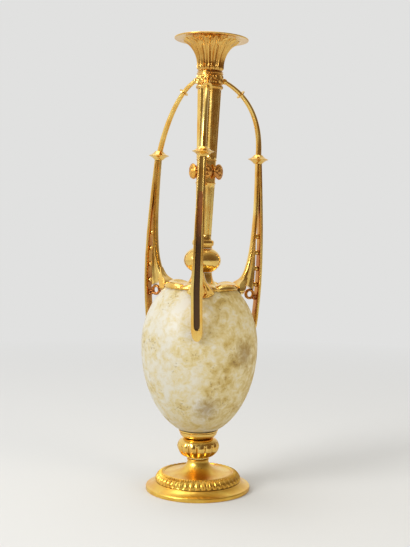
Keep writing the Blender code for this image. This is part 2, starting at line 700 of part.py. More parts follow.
def make_eye():
    """The open ring of the scroll between the leaf and the blade."""
    bm = bmesh.new()
    half = 0.5 * EYE_THICKNESS
    corners = 4
    section = []
    for corner in range(corners):
        turn = math.tau * (corner + 0.5) / corners
        section.append(bm.verts.new((EYE_RADIUS + 1.2 * half * math.cos(turn), 0,
                                     1.8 * half * math.sin(turn))))
    edges = [bm.edges.new((section[index], section[(index + 1) % corners])) for index in range(corners)]
    bmesh.ops.spin(bm, geom=section + edges, axis=(0, 0, 1), cent=(0, 0, 0), steps=10,
                   angle=math.tau, use_merge=True, use_duplicate=False)
    bmesh.ops.remove_doubles(bm, verts=bm.verts, dist=1e-7)
    bmesh.ops.recalc_face_normals(bm, faces=bm.faces)
    centre = in_handle_plane(EYE_CENTRE_RADIUS, 0, PLATE_SEAT - EYE_CENTRE_DROP)
    aim = Matrix.Translation(centre) @ Matrix.Rotation(math.pi / 2, 4, "Y")
    bmesh.ops.transform(bm, matrix=aim, verts=bm.verts)
    return bm


def make_handle_mesh(name, finish, arm_spread, blade_spread, foot_turn, sway):
    """One casting: all parts of a handle, fused."""
    bow = BLADE_BOW + BLADE_BOW_SPREAD * blade_spread
    blade = blade_curve(bow)
    arm = arm_curve(arm_spread)
    parts = [make_blade(blade, sway), make_branch(branch_curve(bow), blade), make_arm(arm)]
    parts.append(make_disc(KNOP_DISC_RADIUS, KNOP_DISC_HALF_HEIGHT, KNOP_DISC_CORE, 12,
                           Vector((HANDLE_KNOP_RADIUS, KNOP_LEVEL)), Vector((0, 1))))
    node_share = share_at(arm, ARM_TOP - ARM_NODE_DROP)
    node = bezier(arm, node_share)
    along = bezier(arm, node_share + 0.02) - node
    parts.append(make_disc(ARM_NODE_RADIUS, ARM_NODE_HALF_HEIGHT, ARM_NODE_CORE, 6, node, along))
    ball_level = ARM_TOP - ARM_BALL_DROP
    parts.append(make_bead(face_at(arm, ball_level), ball_level, ARM_BALL_RADIUS))
    for level in range(BEAD_LEVELS):
        parts.append(make_slot_bead(blade, PLATE_SEAT + BEAD_TOP - level * BEAD_PITCH))
    parts += [make_foot_leaf(foot_turn), make_eye()]
    scroll_level = PLATE_SEAT - EYE_CENTRE_DROP - SCROLL_RADIUS
    scroll = face_at(blade, scroll_level) - BLADE_THICKNESS - 0.6 * SCROLL_RADIUS
    parts.append(make_bead(scroll, scroll_level, SCROLL_RADIUS))
    body = None
    cutters = []
    for index, bm in enumerate(parts):
        part_name = f"{name}_part_{index}"
        part = add_object(part_name, finish_mesh(part_name, bm), finish)
        if body is None:
            body = part
            continue
        union = body.modifiers.new(f"union_{index}", "BOOLEAN")
        union.operation = "UNION"
        union.solver = "EXACT"
        union.object = part
        part.hide_render = True
        part.display_type = "WIRE"
        cutters.append(part)
    depsgraph = bpy.context.evaluated_depsgraph_get()
    fused = bpy.data.meshes.new_from_object(body.evaluated_get(depsgraph))
    for part in cutters + [body]:
        bpy.data.objects.remove(part)
    fused.name = name
    fused.shade_smooth()
    fused.set_sharp_from_angle(angle=math.radians(35))
    return fused


def make_handles(finish, mount_axis):
    """Three hand-fitted castings: the right arm arches widest, the left blade bows widest."""
    for index, (name, arm_spread, blade_spread, foot_turn, sway) in enumerate(HANDLES):
        mesh = make_handle_mesh(name, finish, arm_spread, blade_spread, foot_turn, sway)
        add_object(name, mesh, finish, mount_axis, 0, math.tau * index / len(HANDLES))


def make_rosettes(finish, mount_axis):
    profile = [(0, 0), (ROSETTE_STEM_RADIUS, 0), (ROSETTE_STEM_RADIUS, ROSETTE_STEM_LENGTH)]
    back = ROSETTE_STEM_LENGTH
    profile += [(ROSETTE_RADIUS, back + 0.3 * ROSETTE_THICKNESS)]
    profile += [(0.7 * ROSETTE_RADIUS, back + 0.8 * ROSETTE_THICKNESS), (0, back + ROSETTE_THICKNESS)]
    mesh = finish_mesh("rosette", turned_bmesh(profile, ROSETTE_FACETS))
    level = NECK_SEAT + BAND_HEIGHT + 0.5 * BAND_WIDTH
    for index in range(ROSETTE_COUNT):
        turn = math.tau * index / ROSETTE_COUNT
        rosette = add_object(f"rosette_{index + 1}", mesh, finish, mount_axis, level)
        rosette.rotation_euler = (math.pi / 2, 0, turn)
        reach = BAND_RADIUS + JOINT_GAP
        rosette.location.x = reach * math.sin(turn)
        rosette.location.y = -reach * math.cos(turn)


def main():
    for item in list(bpy.data.objects):
        bpy.data.objects.remove(item)
    gilt = material("gilt_bronze", (0.78, 0.50, 0.14), 0.22, 1.0)
    copper_gilt = material("red_gilt_bronze", (0.62, 0.30, 0.12), 0.32, 1.0)
    stone = material("mottled_stone", (0.66, 0.60, 0.44), 0.35, 0.0)

    mount_axis = bpy.data.objects.new("mount_axis", None)
    bpy.context.scene.collection.objects.link(mount_axis)
    mount_axis.location.z = egg_centre()
    mount_axis.rotation_euler.y = MOUNT_LEAN
    bpy.context.view_layer.update()

    make_foot(gilt)
    make_knop(gilt)
    make_egg_cup(gilt)
    make_egg(stone, mount_axis)
    make_crown_plate(gilt, mount_axis)
    make_ball(gilt, mount_axis)
    make_neck(gilt, mount_axis)
    make_collar(gilt, mount_axis)
    make_lip(gilt, mount_axis)
    make_handles(gilt, mount_axis)
    make_rosettes(copper_gilt, mount_axis)


main()
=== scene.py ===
"""A bud vase: a mottled stone egg in gilt bronze mounts, with three slender handles.

It is laid out as an add-on and run as a script.  Each operator makes one piece, or a group of like
pieces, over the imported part.  Lengths are in metres, +Z up, and the front handle faces -Y.  All that
stands on the egg shares one mount axis, which leans a little to +X.
"""

import math

import bmesh
import bpy
from mathutils import Matrix, Vector


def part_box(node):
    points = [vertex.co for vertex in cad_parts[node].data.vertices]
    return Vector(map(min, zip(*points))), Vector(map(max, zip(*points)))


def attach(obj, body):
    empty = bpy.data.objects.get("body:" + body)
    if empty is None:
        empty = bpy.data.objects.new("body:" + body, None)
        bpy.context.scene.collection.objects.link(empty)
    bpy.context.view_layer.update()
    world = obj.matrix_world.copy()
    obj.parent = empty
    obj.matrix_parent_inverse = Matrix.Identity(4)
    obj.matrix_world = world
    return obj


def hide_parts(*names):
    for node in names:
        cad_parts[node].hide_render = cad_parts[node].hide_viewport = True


bl_info = {
    "name": "Bud Vase",
    "version": (1, 0, 0),
    "blender": (4, 5, 0),
    "location": "3D View > Sidebar > Bud Vase",
    "description": "Makes a stone egg bud vase in gilt bronze mounts around its packed solids",
    "category": "Add Mesh",
}

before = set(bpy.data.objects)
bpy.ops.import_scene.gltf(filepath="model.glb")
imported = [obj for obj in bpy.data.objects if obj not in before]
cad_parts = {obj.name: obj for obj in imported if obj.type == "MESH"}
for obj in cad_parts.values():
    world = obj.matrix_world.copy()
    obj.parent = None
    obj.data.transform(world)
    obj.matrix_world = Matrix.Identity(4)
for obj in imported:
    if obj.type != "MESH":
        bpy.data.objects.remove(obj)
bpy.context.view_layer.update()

# Where the pieces stand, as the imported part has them
MOUNT_LEAN = math.radians(1.7)
LEAN_CENTRE = 0.102154
KNOP_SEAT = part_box("knop")[0].z
CUP_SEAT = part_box("egg_cup")[0].z
EGG_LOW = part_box("egg")[0].z
PLATE_SEAT = 0.1279
BALL_SEAT = 0.1369
NECK_SEAT = 0.151444
COLLAR_SEAT = 0.249344
LIP_SEAT = 0.259944

# Fits between the pieces, small edges, and the least distance that tells two surfaces apart
JOINT_GAP = 0.0003
STONE_GAP = 0.0004
PLATE_CLEARANCE = 0.00064
LEAF_CLEARANCE = 0.0008
EDGE = 0.0005
TOUCH = 0.0001

# Places of the handles' further materials, after the gilding
# The channels take painted shade, turning coppery towards the top as painted reflection
CHANNEL_FINISH = 1
# The inner faces take coppery gilt as painted reflection and shade
INNER_REFLECTION_FINISH = 2
# Name, spread of the arm, spread of the blade, turn of the foot leaf in degrees, sway of the tip
HANDLES = (("handle_front", 0, 0, 3.3, 0.0012), ("handle_right", 1, -1, 0, 0),
           ("handle_left", -1, 1, 0, 0))
# How far the arm's guide points move out with its spread, as a share of its span
ARM_SPREAD = 0.146
# The leaf foot from the top down: height above the plate's seat, share of the width, inset and depth
LEAF_LEVELS = ((0.0100, 0.17, 0.0070, 0.0034), (0.0050, 0.36, 0.0044, 0.0050),
               (0.0018, 0.66, 0.0008, 0.0073), (-0.0012, 0.94, 0, 0.0072),
               (-0.0030, 1.0, 0, 0.0056), (-0.0050, 0.60, 0, 0.0024))
# The small turned bud on each arm, by radius and height
BUD = ((0, -0.0013), (0.0013, -0.0013), (0.0016, -0.0004), (0.0030, -0.0003), (0.0031, 0.0002),
       (0.0017, 0.0005), (0.0014, 0.0014), (0, 0.0014))
# Levels between which the channels' dark brown painted shade turns to a painted coppery reflection
REFLECTION_FROM, REFLECTION_AT = 0.154, 0.172
# Height above the cup's rim in which the egg's seam is painted dark as shadow
SEAM_SHADOW_HEIGHT = 0.001
# Brown stains on the egg, by place and size
STAINS = (((0.0285, -0.022, 0.088), 0.010), ((0.0068, -0.0274, 0.0555), 0.009))

# The photo's camera: its lens and the height of its frame, in millimetres
LENS = 61.93
LENS_FRAME = 36
# The paper floor: its radius, and where it starts to run out into the lit distance and is lost in it
FLOOR_RADIUS, FADE_FROM, FADE_TO = 5, 0.12, 0.75
# What the gilding mirrors, from the bright wall behind and to the left to the dim brown room in front
BRIGHT_TO_DIM = (0.75, -0.60, -0.25)
ROOM = ((0.20, (0.95, 0.95, 0.93)), (0.45, (0.60, 0.59, 0.57)),
        (0.68, (0.24, 0.19, 0.15)), (0.92, (0.16, 0.10, 0.06)))
# Soft lights: name, place, width, watts, tint and whether the gilding mirrors them
LIGHTS = (("key_left", (-0.95, -0.75, 0.75), 0.5, 11, (1, 1, 1), True),
          ("fill_right", (0.95, -0.7, 0.35), 0.5, 5, (1.0, 0.90, 0.74), False),
          ("top", (-0.2, 0.15, 1.2), 0.8, 5, (1, 1, 1), True))
LIGHTS_AIM = (0, 0, 0.14)


def linear(hex_colour):
    """An sRGB hex colour as linear red, green and blue."""
    parts = [int(hex_colour[place:place + 2], 16) / 255 for place in (1, 3, 5)]
    return tuple(part / 12.92 if part <= 0.04045 else ((part + 0.055) / 1.055) ** 2.4 for part in parts)


def length(name, description, default):
    return bpy.props.FloatProperty(name=name, description=description, default=default, min=0,
                                   precision=5, subtype="DISTANCE", unit="LENGTH")


def count(name, description, default):
    return bpy.props.IntProperty(name=name, description=description, default=default, min=1)


def degrees(name, description, default):
    return bpy.props.FloatProperty(name=name, description=description, default=math.radians(default),
                                   subtype="ANGLE")


def colour(name, description, hex_colour):
    return bpy.props.FloatVectorProperty(name=name, description=description, default=linear(hex_colour),
                                         size=3, min=0, max=1, subtype="COLOR")


class FootSizes(bpy.types.PropertyGroup):
    radius: length("Radius", "Half the foot's width", 0.0327)
    height: length("Height", "Height of the foot up to the knop", 0.0194)
    rim: length("Rim height", "Height of the upright rim", 0.0027)
    step: length("Step", "Width of the flat on top of the rim", 0.0013)
    band_radius: length("Band radius", "Radius under the leaf band", 0.0266)
    band_base: length("Band base", "Level under the leaf band", 0.0056)
    dish_radius: length("Dish radius", "Radius of the dish inside the leaf band", 0.0222)
    dish_height: length("Dish height", "Level on top of the leaf band", 0.0109)
    stem_radius: length("Stem radius", "Radius under the knop", 0.0066)
    band_swell: length("Band swell", "How far the leaf band bulges", 0.0011)
    leaves: count("Leaves", "Small leaves round the band", 46)
    relief: length("Leaf relief", "How far the leaves stand out", 0.0009)


class KnopSizes(bpy.types.PropertyGroup):
    radius: length("Radius", "Half the knop's width", 0.0132)
    height: length("Height", "Height of the knop", 0.0128)
    gadroons: count("Gadroons", "Lobes round the knop", 14)
    depth: length("Crease", "Depth of the creases between lobes", 0.0016)
    cup_base: length("Cup base", "Radius under the cup", 0.0082)
    cup_radius: length("Cup radius", "Radius of the cup's rim", 0.0125)
    cup_height: length("Cup height", "Height of the cup", 0.0051)
    cup_wall: length("Cup wall", "Thickness of the cup's rim", 0.0006)


class EggSizes(bpy.types.PropertyGroup):
    radius: length("Radius", "Half the egg's width", 0.0363)
    below: length("Below", "Height of the egg below its widest level", 0.0563)
    above: length("Above", "Height of the whole egg above its widest level", 0.0447)
    seat: length("Seat", "Height of the cut top above the widest level", 0.0366)


class CrownSizes(bpy.types.PropertyGroup):
    radius: length("Plate radius", "Radius of the plate's rim", 0.0232)
    height: length("Plate height", "Height of the plate up to the ball", 0.0087)
    lip: length("Plate lip", "How far the rim stands past the plate's underside", 0.0004)
    lobes: count("Lobes", "Lobes round the plate", 6)
    crest: length("Crest", "Height of the lobes on the plate", 0.0030)
    valley: length("Valley", "Depth of the notches between lobes", 0.0022)
    neck: length("Plate neck", "Radius under the ball", 0.0064)
    ball_radius: length("Ball radius", "Half the ball's width", 0.0116)
    ball_half: length("Ball half height", "Half the height of the whole flattened ball", 0.0085)
    ball_neck: length("Ball neck", "Radius of the ball's small rings", 0.0066)
    ball_collar: length("Ball collar", "Height of the small rings on the ball", 0.0004)


class NeckSizes(bpy.types.PropertyGroup):
    length: length("Length", "Length of the neck up to the collar", 0.0976)
    base_radius: length("Base radius", "Radius of the base ring", 0.0068)
    base_height: length("Base height", "Level on top of the base ring", 0.0052)
    scotia_radius: length("Hollow radius", "Radius of the hollow under the base ring", 0.0058)
    scotia_height: length("Hollow height", "Level of the hollow under the base ring", 0.0014)
    flare: length("Flare", "Height of the flare between base ring and shaft", 0.0012)
    bore_floor: length("Bore floor", "Height of the solid foot of the neck", 0.0126)
    low_radius: length("Low radius", "Radius at the foot of the shaft", 0.0049)
    top_radius: length("Top radius", "Radius under the collar", 0.0073)
    flutes: count("Flutes", "Upright flutes round the neck", 10)
    flute_depth: length("Flute depth", "Depth of the flutes", 0.0011)
    flute_turn: degrees("Flute turn", "Turn of the flutes away from +X", -12.5)
    flute_start: length("Flute start", "Plain stretch above the base ring", 0.003)
    flute_plain: length("Flute margin", "Plain stretch on each side of the band", 0.002)
    flute_end: length("Flute end", "Length in which a flute runs out", 0.0012)
    bore_low: length("Low bore", "Radius of the bore at its end", 0.0035)
    bore_top: length("Top bore", "Radius of the bore in the collar", 0.0053)
    spigot: length("Spigot", "Radius of the neck inside the collar", 0.0063)
    band_height: length("Band height", "Level of the plain band above the neck's seat", 0.0403)
    band_width: length("Band width", "Height of the plain band", 0.0142)
    band_radius: length("Band radius", "Radius of the plain band", 0.0061)
    band_ring: length("Band ring", "How far the band's two rings stand out", 0.0002)
    rosettes: count("Rosettes", "Rosettes round the band", 6)
    petals: count("Petals", "Petals of a rosette", 5)
    petal_notch: length("Petal notch", "Depth of the notches between petals", 0.00035)
    rosette_edge: length("Rosette edge", "Small edge round a rosette", 0.0002)
    rosette_radius: length("Rosette radius", "Half the width of a rosette", 0.0048)
    rosette_depth: length("Rosette depth", "Thickness of a rosette", 0.0021)
    rosette_stem: length("Rosette stem", "Length of the stem behind a rosette", 0.0022)
    stem_radius: length("Stem radius", "Radius of that stem", 0.0014)


class CollarSizes(bpy.types.PropertyGroup):
    radius: length("Radius", "Radius of the collar's rings", 0.0083)
    height: length("Height", "Height of the collar", 0.0103)
    recess: length("Recess", "Depth of the relief band's ground", 0.0007)
    motifs: count("Motifs", "Scrolls and flowers round the band", 12)


class LipSizes(bpy.types.PropertyGroup):
    radius: length("Radius", "Half the width of the open lip", 0.0232)
    height: length("Height", "Height of the lip", 0.0204)
    waist_radius: length("Waist radius", "Radius at the foot of the lip", 0.0081)
    waist_height: length("Waist height", "Height of the straight foot of the lip", 0.0035)
    wall: length("Wall", "Thickness of the lip", 0.0009)
    leaves: count("Leaves", "Long leaves round the lip", 14)
    relief: length("Leaf relief", "Depth of the hollows between the leaves", 0.0011)


class HandleSizes(bpy.types.PropertyGroup):
    knop_radius: length("Knop distance", "Distance of a handle's knop from the mount axis", 0.0366)
    knop_height: length("Knop height", "Height of a handle's knop above the plate's seat", 0.0808)
    disc_radius: length("Disc radius", "Radius of the sharp edge of the knop", 0.0065)
    disc_height: length("Disc height", "Half the height of the knop", 0.0028)
    arm_thickness: length("Arm thickness", "Thickness of the arm at the knop", 0.0038)
    disc_core: length("Disc core", "Radius of the knop at its ends", 0.0026)
    disc_edge: length("Disc edge", "Half the thickness of its sharp edge", 0.0002)
    disc_hollow: length("Disc hollow", "How far its faces are hollowed", 0.0003)
    arm_end: length("Arm end", "Thickness of the arm at the collar", 0.0025)
    arm_start: length("Arm start", "How far the arm leaves the collar before it bends", 0.0005)
    bud_drop: length("Bud drop", "Drop of the bud below the arm's end", 0.0076)
    arm_ball: length("Arm ball", "Radius of the ball at the arm's end", 0.0018)
    arm_ball_drop: length("Arm ball drop", "Drop of that ball below the arm's end", 0.0008)
    blade_top: length("Blade top width", "Width of the blade under the knop", 0.0042)
    blade_low: length("Blade low width", "Width of the blade above its tip", 0.0068)
    tip_height: length("Tip height", "Height of the blade's tip above the egg's widest level", 0.0068)
    blade_thickness: length("Blade thickness", "Thickness of the blade", 0.0019)
    channel: length("Channel depth", "Depth of the channel in the blade", 0.0009)
    blade_gap: length("Blade gap", "Gap between the blade's tip and the egg", 0.0010)
    bow: length("Bow", "How far the blade bows outwards", 0.0043)
    bow_spread: length("Bow spread", "How much more one blade bows than the next", 0.0006)
    toe_radius: length("Toe radius", "Distance of the branch's toe from the mount axis", 0.0268)
    toe_thickness: length("Toe thickness", "Height of the branch's toe above the plate", 0.0010)
    root_inset: length("Root inset", "How far inside the knop's axis the branch starts", 0.0016)
    heel_drop: length("Heel drop", "How far the branch's outer side reaches below its toe", 0.0062)
    branch_width: length("Branch width", "Width of the inner branch", 0.0036)
    slot: length("Slot", "Gap between blade and branch", 0.0026)
    leaf_width: length("Leaf width", "Half the width of the leaf foot", 0.0082)
    bead: length("Bead radius", "Radius of the small balls in the slot", 0.0016)
    beads: count("Beads", "Small balls in the slot", 4)
    bead_top: length("Bead top", "Height of the highest ball above the plate's seat", 0.0318)
    bead_pitch: length("Bead pitch", "Drop from one ball to the next", 0.0102)
    eye: length("Eye radius", "Radius of the open scroll", 0.0026)
    eye_wire: length("Eye wire", "Half the thickness of its ring", 0.0009)
    eye_distance: length("Eye distance", "Distance of the scroll from the mount axis", 0.0346)
    eye_drop: length("Eye drop", "Drop of the scroll below the plate's seat", 0.0050)
    curl: length("Curl radius", "Radius of the small scroll beside it", 0.0011)
    curl_wire: length("Curl wire", "Half the thickness of its ring", 0.0007)
    curl_drop: length("Curl drop", "Drop of the small scroll below the open one", 0.0019)


class Finishes(bpy.types.PropertyGroup):
    gilt: colour("Gilt", "Fire-gilt bronze on open faces", "#F4D47C")
    deep_gilt: colour("Deep gilt", "Thicker, redder gilding in patches", "#E7AF4E")
    # Painted shade: the colour laid into the hollows that ambient occlusion finds
    recess: colour("Recess", "Old polish and toning in the hollows", "#7A4A1C")
    # Painted shade: this dark brown stands for the shade in the long channels
    channel: colour("Channel", "Dark toning in the long channels of the handles", "#5C4632")
    # Also the painted coppery reflection and shade of the handles' inner faces and the channels' tops
    red_gilt_and_reflection: colour("Red gilt", "Coppery gilding of the rosettes", "#C07A48")
    satin_gilt: colour("Satin gilt", "Gilding of the foot", "#F1CB60")
    satin_deep: colour("Deep satin gilt", "Thicker, redder patches there", "#E4A842")
    chased_gilt: colour("Chased gilt", "Gilding of the chased lip and collar", "#EDC26C")
    chased_deep: colour("Deep chased gilt", "Thicker, redder patches there", "#D09540")
    # Painted shade: laid between leaves and scrolls where ambient occlusion finds hollows
    chased_recess_shade: colour("Chased recess", "Old toning between leaves and scrolls", "#7A461A")
    ivory: colour("Ivory", "Palest ground of the stone", "#CFCABA")
    cream: colour("Cream", "Middle tone of the stone", "#CABA89")
    ochre: colour("Ochre", "Yellow-brown mottling of the stone", "#B79D55")
    # Painted shadow: this dark colour stands for the shadow in the gap above the cup
    seam: colour("Seam", "Old wax and dust in the seam above the cup", "#3F3019")
    olive: colour("Olive", "Darkest patches and specks of the stone", "#7A5A26")


class StageSettings(bpy.types.PropertyGroup):
    distance: length("Camera distance", "Distance of the camera in front of the vase", 0.5855)
    eye_level: length("Eye level", "Height of the camera", 0.169)
    side: length("Camera side", "How far the camera stands to the right of the axis", 0.0030)
    tilt: degrees("Camera tilt", "How far the camera looks down", 3.26)
    roll: degrees("Camera roll", "How far the camera is turned about its own view", 0.7)
    way_round: degrees("Camera way round", "Turn of the camera about the vase", 3.5)
    floor: colour("Floor", "Pale paper that the vase stands on", "#D6D6D4")
    backdrop: colour("Backdrop", "Pale wall behind, and the lit distance of the floor", "#E1E1E0")


def arc(start, end, steps, level_first):
    """Points after start up to end on a quarter of an ellipse, as in a cove or an ovolo."""
    points = []
    for step in range(1, steps + 1):
        turn = math.pi / 2 * step / steps
        slow, fast = 1 - math.cos(turn), math.sin(turn)
        across, up = (fast, slow) if level_first else (slow, fast)
        points.append((start[0] + (end[0] - start[0]) * across, start[1] + (end[1] - start[1]) * up))
    return points


def bow(start, end, swell, steps):
    """Points after start up to end on a shallow arc that swells to the right of its way."""
    way = Vector(end) - Vector(start)
    side = Vector((way.y, -way.x)).normalized() * swell
    points = []
    for step in range(1, steps + 1):
        part = step / steps
        points.append(tuple(Vector(start) + way * part + side * 4 * part * (1 - part)))
    return points


def turned(profile, segments, closed=False):
    """Spins a profile of (radius, height) points round the Z axis."""
    bm = bmesh.new()
    verts = [bm.verts.new((radius, 0, height)) for radius, height in profile]
    edges = [bm.edges.new(pair) for pair in zip(verts, verts[1:])]
    if closed:
        edges.append(bm.edges.new((verts[-1], verts[0])))
    bmesh.ops.spin(bm, geom=verts + edges, axis=(0, 0, 1), cent=(0, 0, 0), steps=segments,
                   angle=math.tau, use_merge=True, use_duplicate=False)
    bmesh.ops.remove_doubles(bm, verts=bm.verts, dist=1e-7)
    return bm


def carve(bm, cut):
    """Moves each point to the (radius, height) that cut gives for its radius, angle and height."""
    for vert in bm.verts:
        radius = math.hypot(vert.co.x, vert.co.y)
        if radius < 1e-6:
            continue
        angle = math.atan2(vert.co.y, vert.co.x)
        new_radius, height = cut(radius, angle, vert.co.z)
        vert.co = (new_radius * math.cos(angle), new_radius * math.sin(angle), height)


def ease(value, low, high):
    """0 up to low, 1 from high on, and smooth between."""
    part = min(max((value - low) / (high - low), 0), 1)
    return part * part * (3 - 2 * part)


def hill(value, low, high, slope):
    """1 between low and high, falling smoothly to 0 within a slope's length on each side."""
    return ease(value, low - slope, low) * (1 - ease(value, high, high + slope))


def cell(angle, number, offset=0.0):
    """Place across one of several equal cells round the axis, from -1 to 1, and the cell's number."""
    turns = angle / math.tau * number + offset
    nearest = math.floor(turns + 0.5)
    return 2 * (turns - nearest), nearest % number


def lofted(sections):
    """Extrudes a ring of edges from each section to the next and closes both ends."""
    bm = bmesh.new()
    size = len(sections[0])
    ring = bmesh.ops.create_circle(bm, segments=size, radius=1, cap_ends=True)["verts"]
    for vert, place in zip(ring, sections[0]):
        vert.co = place
    for section in sections[1:]:
        edges = [bm.edges.get((ring[index], ring[(index + 1) % size])) for index in range(size)]
        made = bmesh.ops.extrude_edge_only(bm, edges=edges)["geom"]
        twins = {item.co.to_tuple(9): item for item in made if isinstance(item, bmesh.types.BMVert)}
        ring = [twins[vert.co.to_tuple(9)] for vert in ring]
        for vert, place in zip(ring, section):
            vert.co = place
    bmesh.ops.contextual_create(bm, geom=[bm.edges.get((ring[index], ring[(index + 1) % size]))
                                          for index in range(size)])
    return bm


def gathered(parts):
    """One mesh of several closed parts, each with its faces turned outwards."""
    whole = bmesh.new()
    for part in parts:
        bmesh.ops.remove_doubles(part, verts=part.verts, dist=1e-7)
        bmesh.ops.recalc_face_normals(part, faces=part.faces)
        mesh = bpy.data.meshes.new("part")
        part.to_mesh(mesh)
        part.free()
        whole.from_mesh(mesh)
        bpy.data.meshes.remove(mesh)
    return whole


def on_mount_axis(height=0.0):
    """Turns a piece modelled upright, from its own seat up, onto the leaning mount axis."""
    lean = Matrix.Rotation(MOUNT_LEAN, 4, "Y")
    return Matrix.Translation((0, 0, LEAN_CENTRE)) @ lean @ Matrix.Translation((0, 0, height - LEAN_CENTRE))


def add_piece(name, bm, finish, nodes, place, smooth_angle=42):
    """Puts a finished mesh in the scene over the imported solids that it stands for."""
    bmesh.ops.recalc_face_normals(bm, faces=bm.faces)
    bmesh.ops.transform(bm, matrix=place, verts=bm.verts)
    mesh = bpy.data.meshes.new(name)
    bm.to_mesh(mesh)
    bm.free()
    mesh.shade_smooth()
    mesh.set_sharp_from_angle(angle=math.radians(smooth_angle))
    mesh.materials.append(finish)
    piece = bpy.data.objects.new(name, mesh)
    bpy.context.scene.collection.objects.link(piece)
    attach(piece, "root")
    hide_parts(*nodes)
    return piece


def add_node(tree, kind, settings=None, links=None):
    """Adds one shader node with its settings, and links a source to each named socket."""
    made = tree.nodes.new("ShaderNode" + kind)
    for name, value in (settings or {}).items():
        if name == "stops":
            ramp = made.color_ramp.elements
            while len(ramp) < len(value):
                ramp.new(0.5)
            for stop, (place, tone) in zip(ramp, value):
                stop.position = place
                stop.color = (*tone, 1)
        elif isinstance(name, str) and hasattr(made, name):
            setattr(made, name, value)
        else:
            made.inputs[name].default_value = value
    for name, source in (links or {}).items():
        tree.links.new(source, made.inputs[name])
    return made


def grain(millimetres):
    """Noise scale whose blotches are about this wide."""
    return 1000 / millimetres


def new_finish(name):
    """An empty material, its node tree and its shader."""
    made = bpy.data.materials.get(name) or bpy.data.materials.new(name)
    made.use_nodes = True
    tree = made.node_tree
    tree.nodes.clear()
    shader = add_node(tree, "BsdfPrincipled")
    add_node(tree, "OutputMaterial", links={"Surface": shader.outputs[0]})
    return made, tree, shader


def gilt_bronze(name, bright, deep, recess, roughness, reach=0.0016):
    """Cast bronze, chased, fire-gilt and burnished: a soft mirror, redder where the gold is thick.

    Hollows within reach of a crease take painted shade, so they read dark and warm beside the edges.
    """
    made, tree, shader = new_finish(name)
    where = add_node(tree, "TexCoord").outputs["Object"]
    # Patches of thicker gold
    patches = add_node(tree, "TexNoise", {"Scale": grain(12.5), "Detail": 3, "Roughness": 0.55},
                       {"Vector": where})
    tone = add_node(tree, "ValToRGB", {"stops": ((0.35, bright), (0.70, deep))}, {0: patches.outputs[0]})
    # Painted shade: faces that ambient occlusion finds in hollows are mixed towards the recess colour
    shade = add_node(tree, "AmbientOcclusion", {"only_local": True, "samples": 16, "Distance": reach})
    hollow = add_node(tree, "MapRange", {"From Min": 0.25, "From Max": 0.75,
                                         "To Min": 0.75, "To Max": 0.0}, {"Value": shade.outputs["AO"]})
    hollow_shaded = add_node(tree, "Mix", {"data_type": "RGBA", 7: (*recess, 1)},
                     {0: hollow.outputs[0], 6: tone.outputs[0]})
    tree.links.new(hollow_shaded.outputs[2], shader.inputs["Base Color"])
    # Burnishing marks and handling haze
    haze = add_node(tree, "TexNoise", {"Scale": grain(3.03), "Detail": 4, "Roughness": 0.6},
                    {"Vector": where})
    polish = add_node(tree, "MapRange", {"From Min": 0.3, "From Max": 0.7, "To Min": roughness,
                                         "To Max": roughness + 0.10}, {"Value": haze.outputs[0]})
    tree.links.new(polish.outputs[0], shader.inputs["Roughness"])
    # Fine cast skin under the gilding, drawn at 1 mm because the real 0.2 mm grain would not show
    skin = add_node(tree, "TexNoise", {"Scale": grain(1), "Detail": 2, "Roughness": 0.5},
                    {"Vector": where})
    bump = add_node(tree, "Bump", {"Strength": 0.06, "Distance": 0.00006}, {"Height": skin.outputs[0]})
    tree.links.new(bump.outputs[0], shader.inputs["Normal"])
    shader.inputs["Metallic"].default_value = 1.0
    return made


